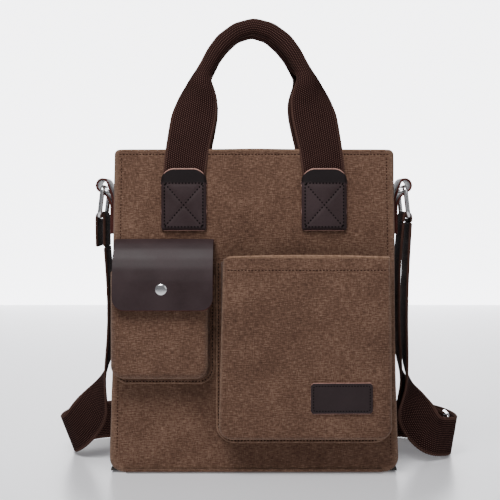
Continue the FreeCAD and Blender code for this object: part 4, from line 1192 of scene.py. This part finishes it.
def build_flap():
    """Leather flap that rolls out from its seam and hangs over the small pocket's mouth."""
    low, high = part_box("flap_seam_band")
    line = rounded_line([(out * MM, z * MM) for out, z in FLAP_PROFILE], 1.0 * MM, 8)
    travelled = arc_lengths(line)
    corner = 12 * MM
    u = eased(72)
    x = low.x + (high.x - low.x) * u
    end = travelled[-1] - rounding(np.minimum(x - low.x, high.x - x), corner)
    start = 0.8 * MM * (np.abs(2 * u - 1) ** 6)
    v = np.linspace(0, 1, 90)
    distance = start[:, None] + (end - start)[:, None] * v
    out, z = np.interp(distance, travelled, line[:, 0]), np.interp(distance, travelled, line[:, 1])
    droop = 0.6 * MM * np.sin(math.pi * u)[:, None] * v ** 2
    grid = places(x[:, None], -(half_depth(z) + out + droop + LEATHER / 2), z)[::-1]
    flap = slab("flap_leather", grid, LEATHER, "dark_leather", "dark_edge", round_rim=0.35)
    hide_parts("small_pocket_flap", "flap_seam_band")
    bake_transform(flap)
    build_snap_cap()


# The cap from its middle to its brim: share of its radius, height in mm
CAP_PROFILE, CAP_HEIGHT = ((0.45, 1.9), (0.74, 1.55), (0.9, 1.05), (0.97, 0.5), (1.0, 0.0), (0.96, -0.3)), 2.0


def build_snap_cap():
    """Domed metal cap on the flap."""
    low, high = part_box("snap_cap")
    middle = (low + high) / 2
    radius = (high.x - low.x) / 2
    count, rings = 48, len(CAP_PROFILE)
    vertices, faces = [], []
    for share, tall in CAP_PROFILE:
        for angle in np.linspace(0, math.tau, count, endpoint=False):
            vertices.append((middle.x + radius * share * math.cos(angle), high.y - tall * MM - 0.1 * MM,
                             middle.z + radius * share * math.sin(angle)))
    for i in range(rings - 1):
        for j in range(count):
            k = (j + 1) % count
            faces.append((i * count + j, (i + 1) * count + j, (i + 1) * count + k, i * count + k))
    vertices.append((middle.x, high.y - CAP_HEIGHT * MM - 0.1 * MM, middle.z))
    vertices.append((middle.x, high.y + 0.2 * MM, middle.z))
    for j in range(count):
        k = (j + 1) % count
        faces.append((len(vertices) - 2, j, k))
        faces.append((len(vertices) - 1, (rings - 1) * count + k, (rings - 1) * count + j))
    dome = add_object("snap_cap_dome", vertices, faces, ["bright_metal"], sharp=60)
    settle(dome, "pocket_flap", ["snap_cap"])


# ---------------------------------------------------------------- handles
# Each row: outer edge x, z; inner edge x, z, in mm; how far the strip has curled shut; turn of its
# fold in degrees; depth share
HANDLE_ROWS = [(90.7, 297.0, 50.3, 297.0, 0.02, 90, 1.0), (88.3, 325.0, 46.6, 325.0, 0.03, 90, 1.0),
               (84.6, 350.0, 40.8, 350.0, 0.04, 88, 1.0), (82.4, 362.5, 38.4, 362.5, 0.06, 86, 1.0),
               (77.2, 376.5, 37.6, 376.5, 0.14, 80, 1.0), (70.6, 389.0, 40.4, 388.0, 0.30, 66, 0.9),
               (63.6, 399.0, 43.6, 396.5, 0.52, 48, 0.85), (57.4, 408.0, 44.2, 403.0, 0.76, 30, 0.8),
               (52.4, 417.0, 39.9, 410.6, 0.90, 18, 0.75), (46.4, 429.0, 34.6, 420.6, 0.95, 12, 0.7),
               (36.6, 442.6, 26.4, 430.8, 0.96, 10, 0.65), (20.0, 455.0, 14.8, 441.2, 0.96, 10, 0.6),
               (0.0, 460.2, 0.0, 445.8, 0.96, 10, 0.6)]

HANDLE_STRIP, HANDLE_PASSES = 40.4 * MM, 16
HANDLE_PIVOT, HANDLE_CROWN = 309.4 * MM, 453.5 * MM
LEG_OUT, GRIP_OUT, REAR_SHIFT = 34.0 * MM, 15.0 * MM, -2.5 * MM


def handle_rows():
    """The handle's rows for both legs, evenly spaced and smoothed."""
    rows = [list(row) for row in HANDLE_ROWS]
    other = [[-row[0], row[1], -row[2], *row[3:]] for row in rows[-2::-1]]
    rows = np.array(rows + other, float)
    middle = (rows[:, 0:2] + rows[:, 2:4]) / 2
    travelled = arc_lengths(middle)
    count = int(travelled[-1] / 1.1)
    wanted = np.linspace(0, travelled[-1], count)
    smooth = read_off(wanted, travelled, rows)
    for _ in range(HANDLE_PASSES):
        smooth[1:-1] = smooth[1:-1] * 0.5 + (smooth[:-2] + smooth[2:]) * 0.25
    return smooth, wanted * MM


def build_handle(side, word):
    """Webbing handle: flat legs that curl lengthwise into a rolled grip."""
    rows, travelled = handle_rows()
    columns = 31
    share = np.linspace(-1, 1, columns)
    outer, inner = rows[:, 0:2] * MM, rows[:, 2:4] * MM
    width = np.linalg.norm(outer - inner, axis=-1)
    outward = unit(outer - inner)
    shut, turn, squeeze = rows[:, 4], np.radians(rows[:, 5]), rows[:, 6]
    radius = HANDLE_STRIP / (math.tau * shut)
    angle = turn[:, None] + math.pi * shut[:, None] * share * -1
    reach_out, reach_front = radius[:, None] * np.cos(angle), radius[:, None] * np.sin(angle)
    low, high = reach_out.min(axis=1, keepdims=True), reach_out.max(axis=1, keepdims=True)
    place = (reach_out - low) / (high - low)
    edge = scallop(travelled)[:, None] * np.clip((np.abs(share) - 0.85) / 0.15, 0, 1) * np.sign(share)
    flatness = 1 - smooth_step(shut / 0.3)
    place = place * width[:, None] + edge * flatness[:, None]
    middle_front = (reach_front.max(axis=1, keepdims=True) + reach_front.min(axis=1, keepdims=True)) / 2
    front = (reach_front - middle_front) * squeeze[:, None]
    height = rows[:, 1:2] * MM
    rise = np.clip((height - HANDLE_PIVOT) / (HANDLE_CROWN - HANDLE_PIVOT), -0.2, 1.2)
    base_y = LEG_OUT + (GRIP_OUT - LEG_OUT) * rise
    low_leg = np.clip((HANDLE_PIVOT - height) / (13 * MM), 0, 1)
    base_y = base_y * (1 - low_leg) + (half_depth(height) + 1.6 * MM) * low_leg
    shift = REAR_SHIFT * np.clip(rise, 0, 1) if side == REAR else 0.0
    grid = places(inner[:, 0:1] + outward[:, 0:1] * place + shift, side * (base_y + front),
                  inner[:, 1:2] + outward[:, 1:2] * place)
    weave = np.stack(np.broadcast_arrays(travelled[:, None], share * HANDLE_STRIP / 2), axis=-1)
    # Painted highlight: the crest along the top of the rolled grip is painted paler; the paler strip edges
    # are wear
    crest_painted_highlight = smooth_step((0.12 - np.abs(share)) / 0.08)[None] * smooth_step((shut - 0.7) / 0.2)[:, None]
    worn = np.maximum(smooth_step((np.abs(share) - 0.9) / 0.1) * 0.5, crest_painted_highlight)
    handle = slab(f"{word}_handle_webbing", grid, 2.2 * MM, "webbing", weave=weave, wear_and_painted_light=worn, round_rim=0.45)
    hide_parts(f"{word}_handle")
    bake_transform(handle)


# ---------------------------------------------------------------- seams of the body
def build_body_stitches():
    """A row of topstitching under the top edge all round and one beside each side seam."""
    for side, word in ((FRONT, "front"), (REAR, "rear")):
        z = TOP - TOP_SEAM
        x = np.linspace(-(half_width(z) - 5 * MM), half_width(z) - 5 * MM, 200)
        stitches(f"{word}_top_stitches", [panel_row(side, x, z, 0.2 * MM)])
        z = np.linspace(18 * MM, TOP - 8 * MM, 160)
        edges = [panel_row(side, hand * (half_width(z) - 8 * MM), z, 0.1 * MM) for hand in (LEFT, RIGHT)]
        stitches(f"{word}_side_stitches", edges, sink=0.8)
    for side, word in ((LEFT, "left"), (RIGHT, "right")):
        z = TOP - 4 * MM
        y = np.linspace(-(half_depth(z) - 8 * MM), half_depth(z) - 8 * MM, 40)
        place = places(side * (half_width(z) + 0.1 * MM), y, z)
        stitches(f"{word}_gusset_stitches", [(place, repeated((side, 0, 0), place))])


build_camera()
build_studio()
build_strap()
build_rings()
build_body()
build_inside()
build_zip()
LARGE_POCKET.build()
SMALL_POCKET.build()
build_flap()
build_patches()
build_label()
build_handle(FRONT, "front")
build_handle(REAR, "rear")
build_body_stitches()
